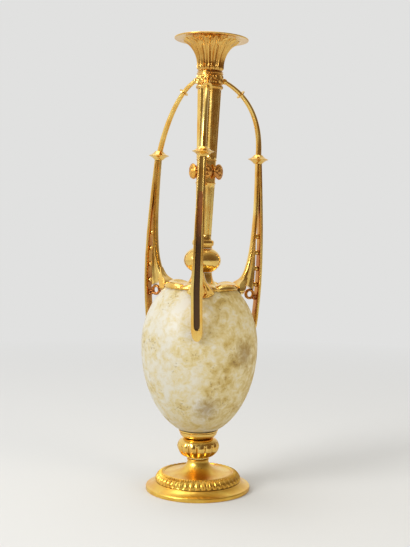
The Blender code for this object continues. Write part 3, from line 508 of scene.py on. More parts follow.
def mottled_stone(name, colours):
    """Turned and polished limestone-like stone: a satin skin over cloudy cream and ochre mottling."""
    made, tree, shader = new_finish(name)
    where = add_node(tree, "TexCoord").outputs["Object"]
    clouds = add_node(tree, "TexNoise", {"Scale": grain(23.81), "Detail": 5, "Roughness": 0.62,
                                         "Distortion": 0.6}, {"Vector": where})
    mottles = add_node(tree, "TexNoise", {"Scale": grain(5.263), "Detail": 6, "Roughness": 0.68,
                                          "Distortion": 0.4}, {"Vector": where})
    both = add_node(tree, "Mix", {"data_type": "FLOAT", 0: 0.55},
                    {2: clouds.outputs[0], 3: mottles.outputs[0]})
    # Painted shade: the stone is drawn darker and yellower towards +X, the side away from the key light
    apart = add_node(tree, "SeparateXYZ", links={0: where})
    shade_to_right = add_node(tree, "MapRange", {"From Min": -0.03, "From Max": 0.036,
                                       "To Min": -0.09, "To Max": 0.06}, {"Value": apart.outputs["X"]})
    level = add_node(tree, "Math", {"operation": "ADD"}, {0: both.outputs[0], 1: shade_to_right.outputs[0]})
    ground = add_node(tree, "ValToRGB", {"stops": ((0.38, colours.ivory), (0.50, colours.cream),
                                                   (0.60, colours.ochre), (0.74, colours.olive))},
                      {0: level.outputs[0]})
    # Dark specks, gathered in drifts
    specks = add_node(tree, "TexNoise", {"Scale": grain(1.389), "Detail": 2, "Roughness": 0.5},
                      {"Vector": where})
    drift = add_node(tree, "Math", {"operation": "MULTIPLY"}, {0: specks.outputs[0], 1: clouds.outputs[0]})
    dark = add_node(tree, "MapRange", {"From Min": 0.34, "From Max": 0.42, "To Min": 0.0, "To Max": 0.6},
                    {"Value": drift.outputs[0]})
    skin = add_node(tree, "Mix", {"data_type": "RGBA", 7: (*colours.olive, 1)},
                    {0: dark.outputs[0], 6: ground.outputs[0]})
    # Brown stains with ragged edges
    for place, size in STAINS:
        away = add_node(tree, "VectorMath", {"operation": "DISTANCE", 1: place}, {0: where})
        ragged = add_node(tree, "Math", {"operation": "MULTIPLY_ADD", 1: -2.2 * size},
                          {0: mottles.outputs[0], 2: away.outputs["Value"]})
        stain = add_node(tree, "MapRange", {"From Min": -0.9 * size, "From Max": 0.05 * size,
                                            "To Min": 0.55, "To Max": 0.0}, {"Value": ragged.outputs[0]})
        skin = add_node(tree, "Mix", {"data_type": "RGBA", 7: (*colours.olive, 1)},
                        {0: stain.outputs[0], 6: skin.outputs[2]})
    # Painted shadow in the seam just above the cup's rim
    rim = CUP_SEAT + bpy.context.scene.vase_knop.cup_height
    seam = add_node(tree, "MapRange", {"From Min": rim + TOUCH, "From Max": rim + SEAM_SHADOW_HEIGHT,
                                       "To Min": 0.9, "To Max": 0.0}, {"Value": apart.outputs["Z"]})
    seam_shaded = add_node(tree, "Mix", {"data_type": "RGBA", 7: (*colours.seam, 1)},
                    {0: seam.outputs[0], 6: skin.outputs[2]})
    tree.links.new(seam_shaded.outputs[2], shader.inputs["Base Color"])
    polish = add_node(tree, "MapRange", {"From Min": 0.3, "From Max": 0.7, "To Min": 0.40, "To Max": 0.56},
                      {"Value": mottles.outputs[0]})
    tree.links.new(polish.outputs[0], shader.inputs["Roughness"])
    bump = add_node(tree, "Bump", {"Strength": 0.25, "Distance": 0.00012}, {"Height": mottles.outputs[0]})
    tree.links.new(bump.outputs[0], shader.inputs["Normal"])
    shader.inputs["IOR"].default_value = 1.55
    return made


def channel_shade_and_reflection():
    """The long channels, never burnished: painted shade in dark brown, and a painted coppery reflection
    towards the top.
    """
    tones = bpy.context.scene.vase_finishes
    made, tree, shader = new_finish("channel_shade_and_reflection")
    where = add_node(tree, "TexCoord").outputs["Object"]
    apart = add_node(tree, "SeparateXYZ", links={0: where})
    rise = add_node(tree, "MapRange", {"From Min": REFLECTION_FROM, "From Max": REFLECTION_AT},
                    {"Value": apart.outputs["Z"]})
    blotch = add_node(tree, "TexNoise", {"Scale": grain(4), "Detail": 3, "Roughness": 0.6},
                      {"Vector": where})
    patchy = add_node(tree, "Math", {"operation": "ADD", 1: 0.35}, {0: blotch.outputs[0]})
    reflection_amount = add_node(tree, "Math", {"operation": "MULTIPLY"},
                      {0: patchy.outputs[0], 1: rise.outputs[0]})
    tone = add_node(tree, "Mix", {"data_type": "RGBA", 6: (*tones.channel, 1),
                                  7: (*tones.red_gilt_and_reflection, 1)}, {0: reflection_amount.outputs[0]})
    tree.links.new(tone.outputs[2], shader.inputs["Base Color"])
    shader.inputs["Metallic"].default_value = 1.0
    shader.inputs["Roughness"].default_value = 0.38
    return made


def gilt():
    """The gilt bronze that most mounts share."""
    tones = bpy.context.scene.vase_finishes
    return gilt_bronze("gilt_bronze", tones.gilt, tones.deep_gilt, tones.recess, 0.13)


def chased_gilt():
    """The darker, more orange gilding of the lip and the collar, with deep painted shade between the
    leaves.
    """
    tones = bpy.context.scene.vase_finishes
    return gilt_bronze("chased_gilt_bronze", tones.chased_gilt, tones.chased_deep, tones.chased_recess_shade,
                       0.16, 0.003)


def red_gilt_and_reflection():
    """The coppery gilding of the rosettes, used also as painted coppery reflection and shade on the blades'
    backs and the scrolls.
    """
    tones = bpy.context.scene.vase_finishes
    return gilt_bronze("red_gilt_bronze", tones.red_gilt_and_reflection, tones.deep_gilt, tones.recess, 0.22)


def satin_gilt():
    """The same gilding left unburnished on the foot, as satin as it came from the fire."""
    tones = bpy.context.scene.vase_finishes
    return gilt_bronze("satin_gilt_bronze", tones.satin_gilt, tones.satin_deep, tones.recess, 0.27)


def leaf_relief(across, up):
    """Height of one small upright leaf with a midrib, from 0 to 1."""
    half = max(math.sin(math.pi * min(max(up, 0), 1)), 0) ** 0.6
    if half < 0.05:
        return 0.0
    body = max(1 - (abs(across) / half) ** 2, 0) ** 0.5
    return body * (1 - 0.45 * math.exp(-(across / 0.16) ** 2))


class VASE_OT_foot(bpy.types.Operator):
    """Turns the foot and chases the band of small leaves round it"""

    bl_idname = "vase.foot"
    bl_label = "Foot"

    def execute(self, context):
        sizes = context.scene.vase_foot
        rim_edge = sizes.radius - sizes.step
        profile = [(0, 0), (sizes.radius - EDGE, 0)]
        profile += arc(profile[-1], (sizes.radius, EDGE), 3, level_first=True)
        profile += [(sizes.radius, sizes.rim - 1.4 * EDGE)]
        profile += arc(profile[-1], (sizes.radius - 1.4 * EDGE, sizes.rim), 4, level_first=False)
        profile += [(rim_edge, sizes.rim + 0.2 * EDGE)]
        sweep_end = (sizes.band_radius + EDGE, sizes.band_base - 0.4 * EDGE)
        profile += bow(profile[-1], sweep_end, -0.7 * EDGE, 12)
        profile += [(sizes.band_radius - EDGE, sizes.band_base - 0.2 * EDGE)]
        band_low = (sizes.band_radius, sizes.band_base + 0.3 * EDGE)
        profile += [band_low] + bow(band_low, (sizes.dish_radius, sizes.dish_height),
                                     sizes.band_swell, 14)
        profile += bow(profile[-1], (sizes.dish_radius - 2.2 * EDGE, sizes.dish_height - 0.4 * EDGE),
                       -0.8 * EDGE, 5)
        profile += [(sizes.dish_radius - 2.4 * EDGE, sizes.dish_height - 0.9 * EDGE)]
        neck = sizes.height - 2 * EDGE
        profile += arc(profile[-1], (sizes.stem_radius, neck), 18, level_first=True)
        profile += bow(profile[-1], (sizes.stem_radius, sizes.height), EDGE, 6)
        profile += [(0, sizes.height)]
        bm = turned(profile, sizes.leaves * 10)
        band_span = sizes.dish_height - sizes.band_base

        def leaves(radius, angle, height):
            up = (height - sizes.band_base) / band_span
            if not 0.03 < up < 0.97 or radius < sizes.dish_radius - 0.1 * EDGE:
                return radius, height
            across, _ = cell(angle, sizes.leaves)
            between, _ = cell(angle, sizes.leaves, 0.5)
            tall = leaf_relief(across * 1.15, up)
            dart = 0.7 * leaf_relief(between * 1.6, (up - 0.35) / 0.62)
            raised = sizes.relief * (max(tall, dart) - 0.35)
            return radius + 0.8 * raised, height + 0.5 * raised

        carve(bm, leaves)
        add_piece("foot_turned", bm, satin_gilt(), ["foot"], Matrix())
        return {"FINISHED"}


class VASE_OT_knop(bpy.types.Operator):
    """Turns the gadrooned knop and the shallow cup under the egg"""

    bl_idname = "vase.knop"
    bl_label = "Knop and Cup"

    def execute(self, context):
        sizes, foot, egg = context.scene.vase_knop, context.scene.vase_foot, context.scene.vase_egg
        low, middle, high = 0.06 * sizes.height, 0.56 * sizes.height, 0.88 * sizes.height
        profile = [(0, 0), (foot.stem_radius, 0), (foot.stem_radius, low)]
        profile += bow(profile[-1], (sizes.radius, middle), 0.13 * sizes.radius, 16)
        profile += arc(profile[-1], (sizes.cup_base, sizes.height), 14, level_first=False)
        profile += [(0, sizes.height)]
        bm = turned(profile, sizes.gadroons * 16)

        def gadroons(radius, angle, height):
            across, _ = cell(angle, sizes.gadroons)
            rounded = 1 - math.sqrt(max(1 - 0.96 * across * across, 0))
            crease = 0.55 * across * across + 0.45 * rounded
            top = (0.92 - 0.22 * across * across) * high
            fade = hill(height, low + 0.10 * sizes.height, top, 0.08 * sizes.height)
            return radius - sizes.depth * fade * crease, height

        carve(bm, gadroons)
        add_piece("knop_gadrooned", bm, gilt(), ["knop"],
                  Matrix.Translation((0, 0, KNOP_SEAT)))

        profile = [(0, 0), (sizes.cup_base, 0)]
        bowl_end = (sizes.cup_radius - 1.2 * EDGE, sizes.cup_height - 3.0 * EDGE)
        profile += arc(profile[-1], bowl_end, 10, level_first=True)
        profile += [(sizes.cup_radius - 1.9 * EDGE, sizes.cup_height - 2.4 * EDGE)]
        rim = (sizes.cup_radius - 0.2 * EDGE, sizes.cup_height - 0.3 * EDGE)
        profile += bow(profile[-1], rim, 1.0 * EDGE, 9)
        bowl_centre = EGG_LOW + egg.below - CUP_SEAT
        rings = 9
        for step in range(rings + 1):
            radius = (sizes.cup_radius - sizes.cup_wall) * (1 - step / rings)
            drop = egg.below * math.sqrt(1 - (radius / egg.radius) ** 2)
            profile.append((radius, bowl_centre - drop - STONE_GAP))
        add_piece("cup_turned", turned(profile, 96), gilt(), ["egg_cup"],
                  Matrix.Translation((0, 0, CUP_SEAT)))
        return {"FINISHED"}


class VASE_OT_egg(bpy.types.Operator):
    """Turns the stone egg and cuts its top flat under the plate"""

    bl_idname = "vase.egg"
    bl_label = "Egg"

    def execute(self, context):
        sizes, tones = context.scene.vase_egg, context.scene.vase_finishes
        middle = EGG_LOW + sizes.below
        half_rings = 44
        profile = []
        for step in range(-half_rings, half_rings + 1):
            turn = math.pi / 2 * step / half_rings
            reach = sizes.below if step < 0 else sizes.above
            profile.append((sizes.radius * math.cos(turn), middle + reach * math.sin(turn)))
        profile[0], profile[-1] = (0, profile[0][1]), (0, profile[-1][1])
        bm = turned(profile, 120)
        seat = on_mount_axis() @ Vector((0, 0, middle + sizes.seat))
        up = on_mount_axis().to_3x3() @ Vector((0, 0, 1))
        cut = bmesh.ops.bisect_plane(bm, geom=bm.verts[:] + bm.edges[:] + bm.faces[:],
                                     plane_co=seat, plane_no=up, clear_outer=True)
        rim = [item for item in cut["geom_cut"] if isinstance(item, bmesh.types.BMEdge)]
        bmesh.ops.contextual_create(bm, geom=rim)
        add_piece("egg_stone", bm, mottled_stone("mottled_stone", tones), ["egg"],
                  Matrix(), smooth_angle=50)
        return {"FINISHED"}


class VASE_OT_crown(bpy.types.Operator):
    """Turns the lobed plate on the egg and the polished ball above it"""

    bl_idname = "vase.crown"
    bl_label = "Plate and Ball"

    def execute(self, context):
        sizes, egg = context.scene.vase_crown, context.scene.vase_egg
        widest = EGG_LOW + egg.below - PLATE_SEAT
        inner = sizes.radius - sizes.lip
        shoulder = egg.radius * math.sqrt(1 - (egg.seat / egg.above) ** 2)
        profile = [(0, 0), (shoulder, 0)]
        rings = 6
        for step in range(1, rings + 1):
            radius = shoulder + (inner - shoulder) * step / rings
            lift = egg.above * math.sqrt(1 - (radius / egg.radius) ** 2)
            profile.append((radius, widest + lift + PLATE_CLEARANCE))
        low = profile[-1][1]
        profile += [(sizes.radius, low + 0.4 * EDGE), (sizes.radius + 0.4 * EDGE, low + EDGE)]
        profile += bow(profile[-1], (sizes.radius + 0.9 * EDGE, 0.1 * low), 0.3 * EDGE, 6)
        profile += arc(profile[-1], (0.80 * sizes.radius, sizes.crest), 9, level_first=False)
        profile += bow(profile[-1], (0.60 * sizes.radius, 0.2 * sizes.crest), -0.6 * EDGE, 6)
        profile += [(0.51 * sizes.radius, 0.2 * sizes.crest)]
        profile += arc(profile[-1], (sizes.neck, sizes.height), 10, level_first=True)
        profile += [(0, sizes.height)]
        bm = turned(profile, 180)

        def lobes(radius, angle, height):
            across, _ = cell(angle + math.pi / 2, sizes.lobes)
            valley = 1 - max(math.cos(0.5 * math.pi * across), 0) ** 0.7
            on_top = radius > 0.5 * sizes.radius and height > 0.5 * low
            reach = ease(radius / sizes.radius, 0.48, 0.80) if on_top else 0
            sink = sizes.valley * valley * reach * (height > 0)
            on_side = radius > sizes.radius - TOUCH
            return radius - EDGE * valley * on_side, height - sink

        carve(bm, lobes)
        add_piece("plate_lobed", bm, gilt(), ["crown_plate"], on_mount_axis(PLATE_SEAT))

        radius, half, collar = sizes.ball_radius, sizes.ball_half, sizes.ball_collar
        end = math.acos((sizes.ball_neck + EDGE) / radius)
        centre = collar + half * math.sin(end)
        profile = [(0, 0), (sizes.ball_neck, 0)]
        steps = 36
        for step in range(steps + 1):
            turn = end * (2 * step / steps - 1)
            profile.append((radius * math.cos(turn), centre + half * math.sin(turn)))
        profile += [(sizes.ball_neck, 2 * centre), (0, 2 * centre)]
        add_piece("ball_polished", turned(profile, 96), gilt(), ["ball"],
                  on_mount_axis(BALL_SEAT))
        return {"FINISHED"}


def shaft_radius(sizes, height):
    """Outer radius of the plain neck at a height above its seat."""
    low = sizes.base_height + sizes.flare
    if height < low:
        return sizes.low_radius + EDGE * ((low - height) / sizes.flare) ** 2
    part = (height - low) / (sizes.length - low)
    return sizes.low_radius + (sizes.top_radius - sizes.low_radius) * part


class VASE_OT_neck(bpy.types.Operator):
    """Turns the hollow fluted neck with its base ring and plain band"""

    bl_idname = "vase.neck"
    bl_label = "Neck"

    def execute(self, context):
        sizes, collar = context.scene.vase_neck, context.scene.vase_collar
        band_top = sizes.band_height + sizes.band_width
        ring = sizes.band_ring
        profile = [(0, 0), (sizes.base_radius - EDGE, 0)]
        profile += bow(profile[-1], (sizes.scotia_radius, sizes.scotia_height), -0.4 * EDGE, 6)
        half = 0.5 * (sizes.base_height - sizes.scotia_height)
        core = sizes.scotia_radius - 0.4 * EDGE
        for step in range(1, 12):
            turn = math.pi * (step / 12 - 0.5)
            profile.append((core + (sizes.base_radius - core) * math.cos(turn) ** 0.7,
                            sizes.scotia_height + half + half * math.sin(turn)))
        profile += [(shaft_radius(sizes, sizes.base_height), sizes.base_height)]
        steps = 60
        for step in range(1, steps):
            height = sizes.base_height + (sizes.band_height - EDGE - sizes.base_height) * step / steps
            profile.append((shaft_radius(sizes, height), height))
        profile += bow((sizes.band_radius - ring, sizes.band_height - EDGE),
                       (sizes.band_radius - ring, sizes.band_height + EDGE), 2.5 * ring, 5)
        profile += [(sizes.band_radius - 0.5 * ring, band_top - EDGE)]
        profile += bow(profile[-1], (sizes.band_radius - 0.5 * ring, band_top + EDGE), 2.5 * ring, 5)
        for step in range(1, steps + 1):
            height = band_top + EDGE + (sizes.length - band_top - EDGE) * step / steps
            profile.append((shaft_radius(sizes, height), height))
        spigot_top = sizes.length + collar.height
        bore_start = sizes.bore_floor
        profile += [(sizes.spigot, sizes.length), (sizes.spigot, spigot_top)]
        profile += [(sizes.bore_top, spigot_top), (sizes.bore_low, bore_start), (0, bore_start)]
        bm = turned(profile, sizes.flutes * 16)

        def flutes(radius, angle, height):
            if not sizes.base_height < height <= sizes.length:
                return radius, height
            if radius < 0.98 * shaft_radius(sizes, height):
                return radius, height
            low = hill(height, sizes.base_height + sizes.flute_start,
                       sizes.band_height - sizes.flute_plain, sizes.flute_end)
            top = hill(height, band_top + sizes.flute_plain, sizes.length, sizes.flute_end)
            across, _ = cell(angle - sizes.flute_turn, sizes.flutes)
            scoop = max(math.cos(0.5 * math.pi * across), 0) ** 2.2
            return radius - sizes.flute_depth * scoop * max(low, top), height

        carve(bm, flutes)
        add_piece("neck_fluted", bm, gilt(), ["neck"], on_mount_axis(NECK_SEAT))
        return {"FINISHED"}


class VASE_OT_rosettes(bpy.types.Operator):
    """Turns one domed rosette with petals and sets six round the neck's plain band"""

    bl_idname = "vase.rosettes"
    bl_label = "Rosettes"

    def execute(self, context):
        sizes, finish = context.scene.vase_neck, red_gilt_and_reflection()
        back, deep, reach = sizes.rosette_stem, sizes.rosette_depth, sizes.rosette_radius
        stem, edge = sizes.stem_radius, sizes.rosette_edge
        profile = [(0, 0), (stem, 0)] + bow((stem, 0), (stem, back), -1.5 * edge, 5)
        profile += arc((0.45 * reach, back), (reach - edge, back + 0.25 * deep), 5, level_first=True)
        profile += bow(profile[-1], (reach - 3 * edge, back + 0.42 * deep), 1.25 * edge, 5)
        profile += bow(profile[-1], (0.42 * reach, back + 0.80 * deep), 2 * edge, 12)
        profile += [(0.38 * reach, back + 0.66 * deep)]
        profile += arc(profile[-1], (0, back + deep), 7, level_first=False)
        level = NECK_SEAT + sizes.band_height + 0.5 * sizes.band_width
        for index in range(sizes.rosettes):
            bm = turned(profile, 60)

            def petals(radius, angle, height):
                across, _ = cell(angle, sizes.petals)
                on_face = hill(radius, 0.48 * reach, 0.74 * reach, 0.10 * reach)
                on_face *= height > back + 0.3 * deep
                return radius, height - sizes.petal_notch * on_face * abs(across) ** 3

            carve(bm, petals)
            outwards = Matrix.Rotation(math.tau * index / sizes.rosettes, 4, "Z")
            outwards = outwards @ Matrix.Translation((0, -(sizes.band_radius + JOINT_GAP), 0))
            place = on_mount_axis(level) @ outwards @ Matrix.Rotation(math.pi / 2, 4, "X")
            add_piece(f"rosette_domed_{index + 1}", bm, finish, [f"rosette_{index + 1}"],
                      place)
        return {"FINISHED"}


def scroll_relief(across, up, kind):
    """Height of one small motif of the relief band: a curled scroll or a five-petalled flower."""
    out, turn = math.hypot(across, up), math.atan2(up, across)
    if kind % 2:
        petals = 0.62 + 0.30 * math.cos(5 * turn)
        flower = 1 - ease(out, petals - 0.12, petals + 0.12)
        return flower * (0.55 + 0.45 * ease(out, 0.12, 0.4)) + 0.6 * (1 - ease(out, 0.08, 0.2))
    curl = 0.5 + 0.5 * math.cos(turn - 7.5 * out)
    return curl ** 1.5 * (1 - ease(out, 0.75, 1.0))


class VASE_OT_collar(bpy.types.Operator):
    """Turns the collar and chases its band of scrolls and flowers"""

    bl_idname = "vase.collar"
    bl_label = "Collar"

    def execute(self, context):
        sizes, neck = context.scene.vase_collar, context.scene.vase_neck
        bore = neck.spigot + JOINT_GAP
        ground = sizes.radius - sizes.recess
        low, high = 0.27 * sizes.height, 0.84 * sizes.height
        profile = [(bore, 0), (ground, 0)]
        profile += bow(profile[-1], (ground, 0.23 * sizes.height), sizes.recess, 14)
        profile += [(ground - 2 * TOUCH, 0.25 * sizes.height)]
        rows = 26
        for step in range(rows + 1):
            profile.append((ground, low + (high - low) * step / rows))
        profile += bow((ground, 0.87 * sizes.height), (ground, 0.96 * sizes.height), sizes.recess, 7)
        profile += [(ground, sizes.height), (bore, sizes.height)]
        bm = turned(profile, sizes.motifs * 22, closed=True)
        middle, half = 0.5 * (low + high), 0.5 * (high - low)

        def motifs(radius, angle, height):
            if radius < bore + 2 * TOUCH:
                return radius, height
            across, number = cell(angle + math.pi / 2, sizes.motifs)
            raised = 0.0
            if low < height < high:
                raised = scroll_relief(across, (height - middle) / half, number)
                raised += 0.5 * hill(abs(height - middle), 0.9 * half, half, 0.05 * half)
            elif height < 0.24 * sizes.height:
                tip, _ = cell(angle, 2 * sizes.motifs)
                raised = 0.5 * (1 - abs(tip)) - 0.35
            return radius + sizes.recess * raised, height

        carve(bm, motifs)
        add_piece("collar_chased", bm, chased_gilt(), ["collar"], on_mount_axis(COLLAR_SEAT))
        return {"FINISHED"}


class VASE_OT_lip(bpy.types.Operator):
    """Turns the flared hollow lip and chases its long leaves"""

    bl_idname = "vase.lip"
    bl_label = "Lip"

    def execute(self, context):
        sizes, neck = context.scene.vase_lip, context.scene.vase_neck
        outer = [(sizes.waist_radius, 0)]
        outer += [(sizes.waist_radius, sizes.waist_height * step / 6) for step in range(1, 7)]
        outer += arc(outer[-1], (sizes.radius - EDGE, sizes.height - 2 * EDGE), 40, level_first=False)
        rim = bow(outer[-1], (sizes.radius - 2 * EDGE, sizes.height), 0.9 * EDGE, 6)
        inner = []
        span = sizes.height - sizes.waist_height
        for radius, height in outer[-4:8:-2]:
            rise = (height - sizes.waist_height) / span
            inner.append((radius - 1.6 * sizes.wall * (1.2 - rise), height + 1.3 * sizes.wall * rise))
        inner.append((neck.bore_top, 0))
        bm = turned(outer + rim + inner, sizes.leaves * 20, closed=True)
        outline = {round(height, 7): radius for radius, height in outer}

        def leaves(radius, angle, height):
            outside = outline.get(round(height, 7))
            if outside is None or radius < 0.999 * outside or height < EDGE:
                return radius, height
            up = height / sizes.height
            across, _ = cell(angle, sizes.leaves)
            between, _ = cell(angle, sizes.leaves, 0.5)
            width = 0.92 * (1 - ease(up, 0.66, 0.93) ** 2)
            body = 1 - ease(abs(across), width - 0.16, width + 0.02)
            rib = 0.45 * math.exp(-(across / 0.10) ** 2) + 0.2 * math.cos(9 * across) ** 2
            behind = 0.6 * (1 - ease(abs(between), 0.15, 0.5)) * hill(up, 0.72, 0.88, 0.04)
            raised = max(body * (0.7 + rib), behind) * ease(up, 0.02, 0.10)
            depth = sizes.relief * (1.1 - raised) * (1 - ease(up, 0.93, 0.955))
            return radius - 0.75 * depth, height + 0.35 * depth * (up > 0.3)

        carve(bm, leaves)
        add_piece("lip_leafed", bm, chased_gilt(), ["lip"], on_mount_axis(LIP_SEAT))
        return {"FINISHED"}


def bezier(points, part):
    """A point on the cubic curve through four guide points."""
    rest = 1 - part
    weights = (rest ** 3, 3 * rest * rest * part, 3 * rest * part * part, part ** 3)
    return sum((Vector(point) * weight for point, weight in zip(points, weights)), Vector((0, 0)))


def part_at(guide, height):
    """How far along a handle's curve a height is reached."""
    low, high = 0.0, 1.0
    for _ in range(30):
        middle = 0.5 * (low + high)
        if bezier(guide, middle).y > height:
            low = middle
        else:
            high = middle
    return low


def face_at(guide, height):
    """Radius of a handle's curve at a height."""
    return bezier(guide, part_at(guide, height)).x


def facing(radius, side, height):
    """A handle is modelled facing -Y: radius runs outwards, side runs across it."""
    return Vector((side, -radius, height))


def blended(table, part):
    """A row of a table at a place between 0 and 1 along it, on smooth curves through its columns."""
    place = part * (len(table) - 1)
    index = min(int(place), len(table) - 2)
    slope = place - index
    rows = [table[min(max(index + shift, 0), len(table) - 1)] for shift in (-1, 0, 1, 2)]
    values = []
    for before, start, end, after in zip(*rows):
        values.append(0.5 * (2 * start + (end - before) * slope
                             + (2 * before - 5 * start + 4 * end - after) * slope ** 2
                             + (3 * start - before - 3 * end + after) * slope ** 3))
    return values


class HandlePlan:
    """The guide curves of one handle, from its own spread of arm and blade."""

    def __init__(self, sizes, egg, crown, collar, arm_spread, blade_spread, sway):
        self.sizes = sizes
        self.sway = sway
        self.egg = egg
        self.crown = crown
        self.knop_level = PLATE_SEAT + sizes.knop_height
        self.arm_top = COLLAR_SEAT + 0.63 * collar.height
        self.tip_level = EGG_LOW + egg.below + sizes.tip_height
        start = collar.radius - 2 * TOUCH
        near = start + sizes.arm_start
        span, drop = sizes.knop_radius - near, self.arm_top - self.knop_level
        wide = ARM_SPREAD * arm_spread
        self.arm = ((start, self.arm_top),
                    (near + (0.45 + wide) * span, self.arm_top - (0.09 + 0.3 * wide) * drop),
                    (near + (0.905 + wide) * span, self.arm_top - (0.38 + 0.2 * wide) * drop),
                    (sizes.knop_radius, self.knop_level))
        bend = sizes.bow + sizes.bow_spread * blade_spread
        top = sizes.knop_radius + 0.9 * sizes.blade_thickness
        tip = self.egg_radius(self.tip_level) + sizes.blade_thickness + sizes.blade_gap
        fall = self.knop_level - self.tip_level
        self.blade = ((top, self.knop_level), (top + 0.75 * bend, self.knop_level - 0.36 * fall),
                      (tip + 1.35 * bend, self.knop_level - 0.68 * fall), (tip, self.tip_level))
        root = sizes.knop_radius - sizes.root_inset
        self.toe = (sizes.toe_radius, PLATE_SEAT + crown.crest + sizes.toe_thickness)
        down = self.knop_level - self.toe[1]
        self.branch = ((root, self.knop_level), (root + 0.25 * bend, self.knop_level - 0.42 * down),
                       (self.toe[0] + 2.45 * bend, self.knop_level - 0.87 * down), self.toe)

    def egg_radius(self, level):
        """Radius of the egg at a level."""
        middle = EGG_LOW + self.egg.below
        reach = self.egg.above if level > middle else self.egg.below
        part = min(abs(level - middle) / reach, 1)
        return self.egg.radius * math.sqrt(1 - part * part)

    def aside(self, level):
        """How far the blade has swayed to the side at a level below the plate's seat."""
        return self.sway * max((PLATE_SEAT - level) / (PLATE_SEAT - self.tip_level), 0)


def arm_part(plan):
    """The rod that arches from the collar down to the knop, a little flattened at its sides."""
    sizes = plan.sizes
    sections = []
    steps, corners = 40, 16
    for step in range(steps + 1):
        part = step / steps
        point = bezier(plan.arm, part)
        ahead = bezier(plan.arm, min(part + 0.01, 1)) - bezier(plan.arm, max(part - 0.01, 0))
        normal = Vector((ahead.y, -ahead.x)).normalized()
        half = 0.5 * (sizes.arm_end + (sizes.arm_thickness - sizes.arm_end) * part)
        ring = []
        for corner in range(corners):
            turn = math.tau * corner / corners
            offset = point + normal * half * math.cos(turn)
            ring.append(facing(offset.x, 0.92 * half * math.sin(turn), offset.y))
        sections.append(ring)
    return lofted(sections)


def disc_part(profile, segments, point, along):
    """A turned ornament threaded on the handle at a point, along its curve."""
    bm = turned(profile, segments)
    turn = Vector((0, 0, 1)).rotation_difference(facing(along.x, 0, along.y).normalized())
    place = Matrix.Translation(facing(point.x, 0, point.y)) @ turn.to_matrix().to_4x4()
    bmesh.ops.transform(bm, matrix=place, verts=bm.verts)
    return bm


def ball_part(radius, height, size, stretch=1.0):
    """A small ball in the handle's plane, longer outwards where stretch is above 1."""
    bm = bmesh.new()
    shape = Matrix.Diagonal((1, stretch, 1, 1))
    bmesh.ops.create_uvsphere(bm, u_segments=18, v_segments=12, radius=size,
                              matrix=Matrix.Translation(facing(radius, 0, height)) @ shape)
    return bm


def blade_half(sizes, part):
    """Half the blade's width at a place between the knop and the tip."""
    return 0.5 * (sizes.blade_top + (sizes.blade_low - sizes.blade_top) * min(part * 1.4, 1))


def blade_part(plan):
    """The outer blade with a long round-ended channel between two rounded rims."""
    sizes = plan.sizes
    sections = []
    shares = [step / 40 * 0.88 for step in range(40)]
    shares += [0.88 + 0.06 * math.sin(math.pi / 2 * step / 12) for step in range(12)]
    shares += [0.94 + 0.06 * math.sin(math.pi / 2 * step / 12) for step in range(13)]
    thick = sizes.blade_thickness
    for part in shares:
        face = bezier(plan.blade, part)
        end = math.sqrt(max(1 - max((part - 0.94) / 0.0605, 0) ** 2, 0.004))
        half = blade_half(sizes, part) * end
        deep = sizes.channel * (0.25 + 0.75 * ease(part, 0.18, 0.30)) * (1 - ease(part, 0.932, 0.942))
        round_end = math.sqrt(max(1 - max((part - 0.905) / 0.035, 0) ** 2, 0))
        wall = 0.52 * half * max(round_end, 0.05)
        back = face.x - thick
        half_ring = ((-thick, 0.30), (-thick, 0.62), (-0.86 * thick, 0.84), (-0.6 * thick, 0.98),
                     (-0.25 * thick, 1.0), (-0.06 * thick, 0.93), (0, 0.82))
        ring = [(face.x + out, side * half) for out, side in half_ring]
        ring += [(face.x - 0.04 * thick, 1.12 * wall), (face.x - 0.25 * deep, wall),
                 (face.x - deep, 0.84 * wall), (face.x - 1.06 * deep, 0.4 * wall)]
        ring = ring + [(out, -side) for out, side in reversed(ring)]
        for index, (out, side) in enumerate(ring):
            if out <= back + 1e-9:
                ring[index] = (back, side)
        aside = plan.aside(face.y)
        sections.append([facing(out, side + aside, face.y) for out, side in ring])
    bm = lofted(sections)
    # The channel's floor and walls lie well inside the rims and take its painted shade, and the back takes
    # the painted coppery reflection and shade
    for face in bm.faces:
        middle = face.calc_center_median()
        part = part_at(plan.blade, middle.z)
        depth = bezier(plan.blade, part).x + middle.y
        aside = plan.aside(middle.z)
        if 0.2 < part < 0.95 and 0.3 * sizes.channel < depth < 1.3 * sizes.channel \
                and abs(middle.x - aside) < 0.56 * blade_half(sizes, part):
            face.material_index = CHANNEL_FINISH
        elif depth > 0.8 * thick:
            face.material_index = INNER_REFLECTION_FINISH
    return bm


def branch_part(plan):
    """The inner branch with a groove down each side and a foot that flares onto the plate."""
    sizes = plan.sizes
    under = PLATE_SEAT + plan.crown.crest + JOINT_GAP
    section = ((0, -0.30), (0.05, -0.66), (0.14, -0.92), (0.26, -1.0), (0.38, -0.88), (0.50, -0.62),
               (0.62, -0.60), (0.74, -0.84), (0.86, -0.96), (0.95, -0.8), (1, -0.4))
    section = section + tuple((across, -side) for across, side in reversed(section))
    sections = []
    steps = 44
    for step in range(steps + 1):
        part = (step / steps) ** 0.9
        inner = bezier(plan.branch, part)
        slot = sizes.slot * min(max((part - 0.2) / 0.35, -0.1), 1)
        outer_height = inner.y - sizes.heel_drop * part ** 4
        outer = face_at(plan.blade, outer_height) - sizes.blade_thickness - slot
        half = 0.5 * sizes.branch_width * (1 + 0.5 * part ** 2)
        low = inner.y - (inner.y - under) * ease(part, 0.97, 1)
        sections.append([facing(inner.x + across * (outer - inner.x), side * half,
                                low + across * (outer_height - low)) for across, side in section])
    return lofted(sections)


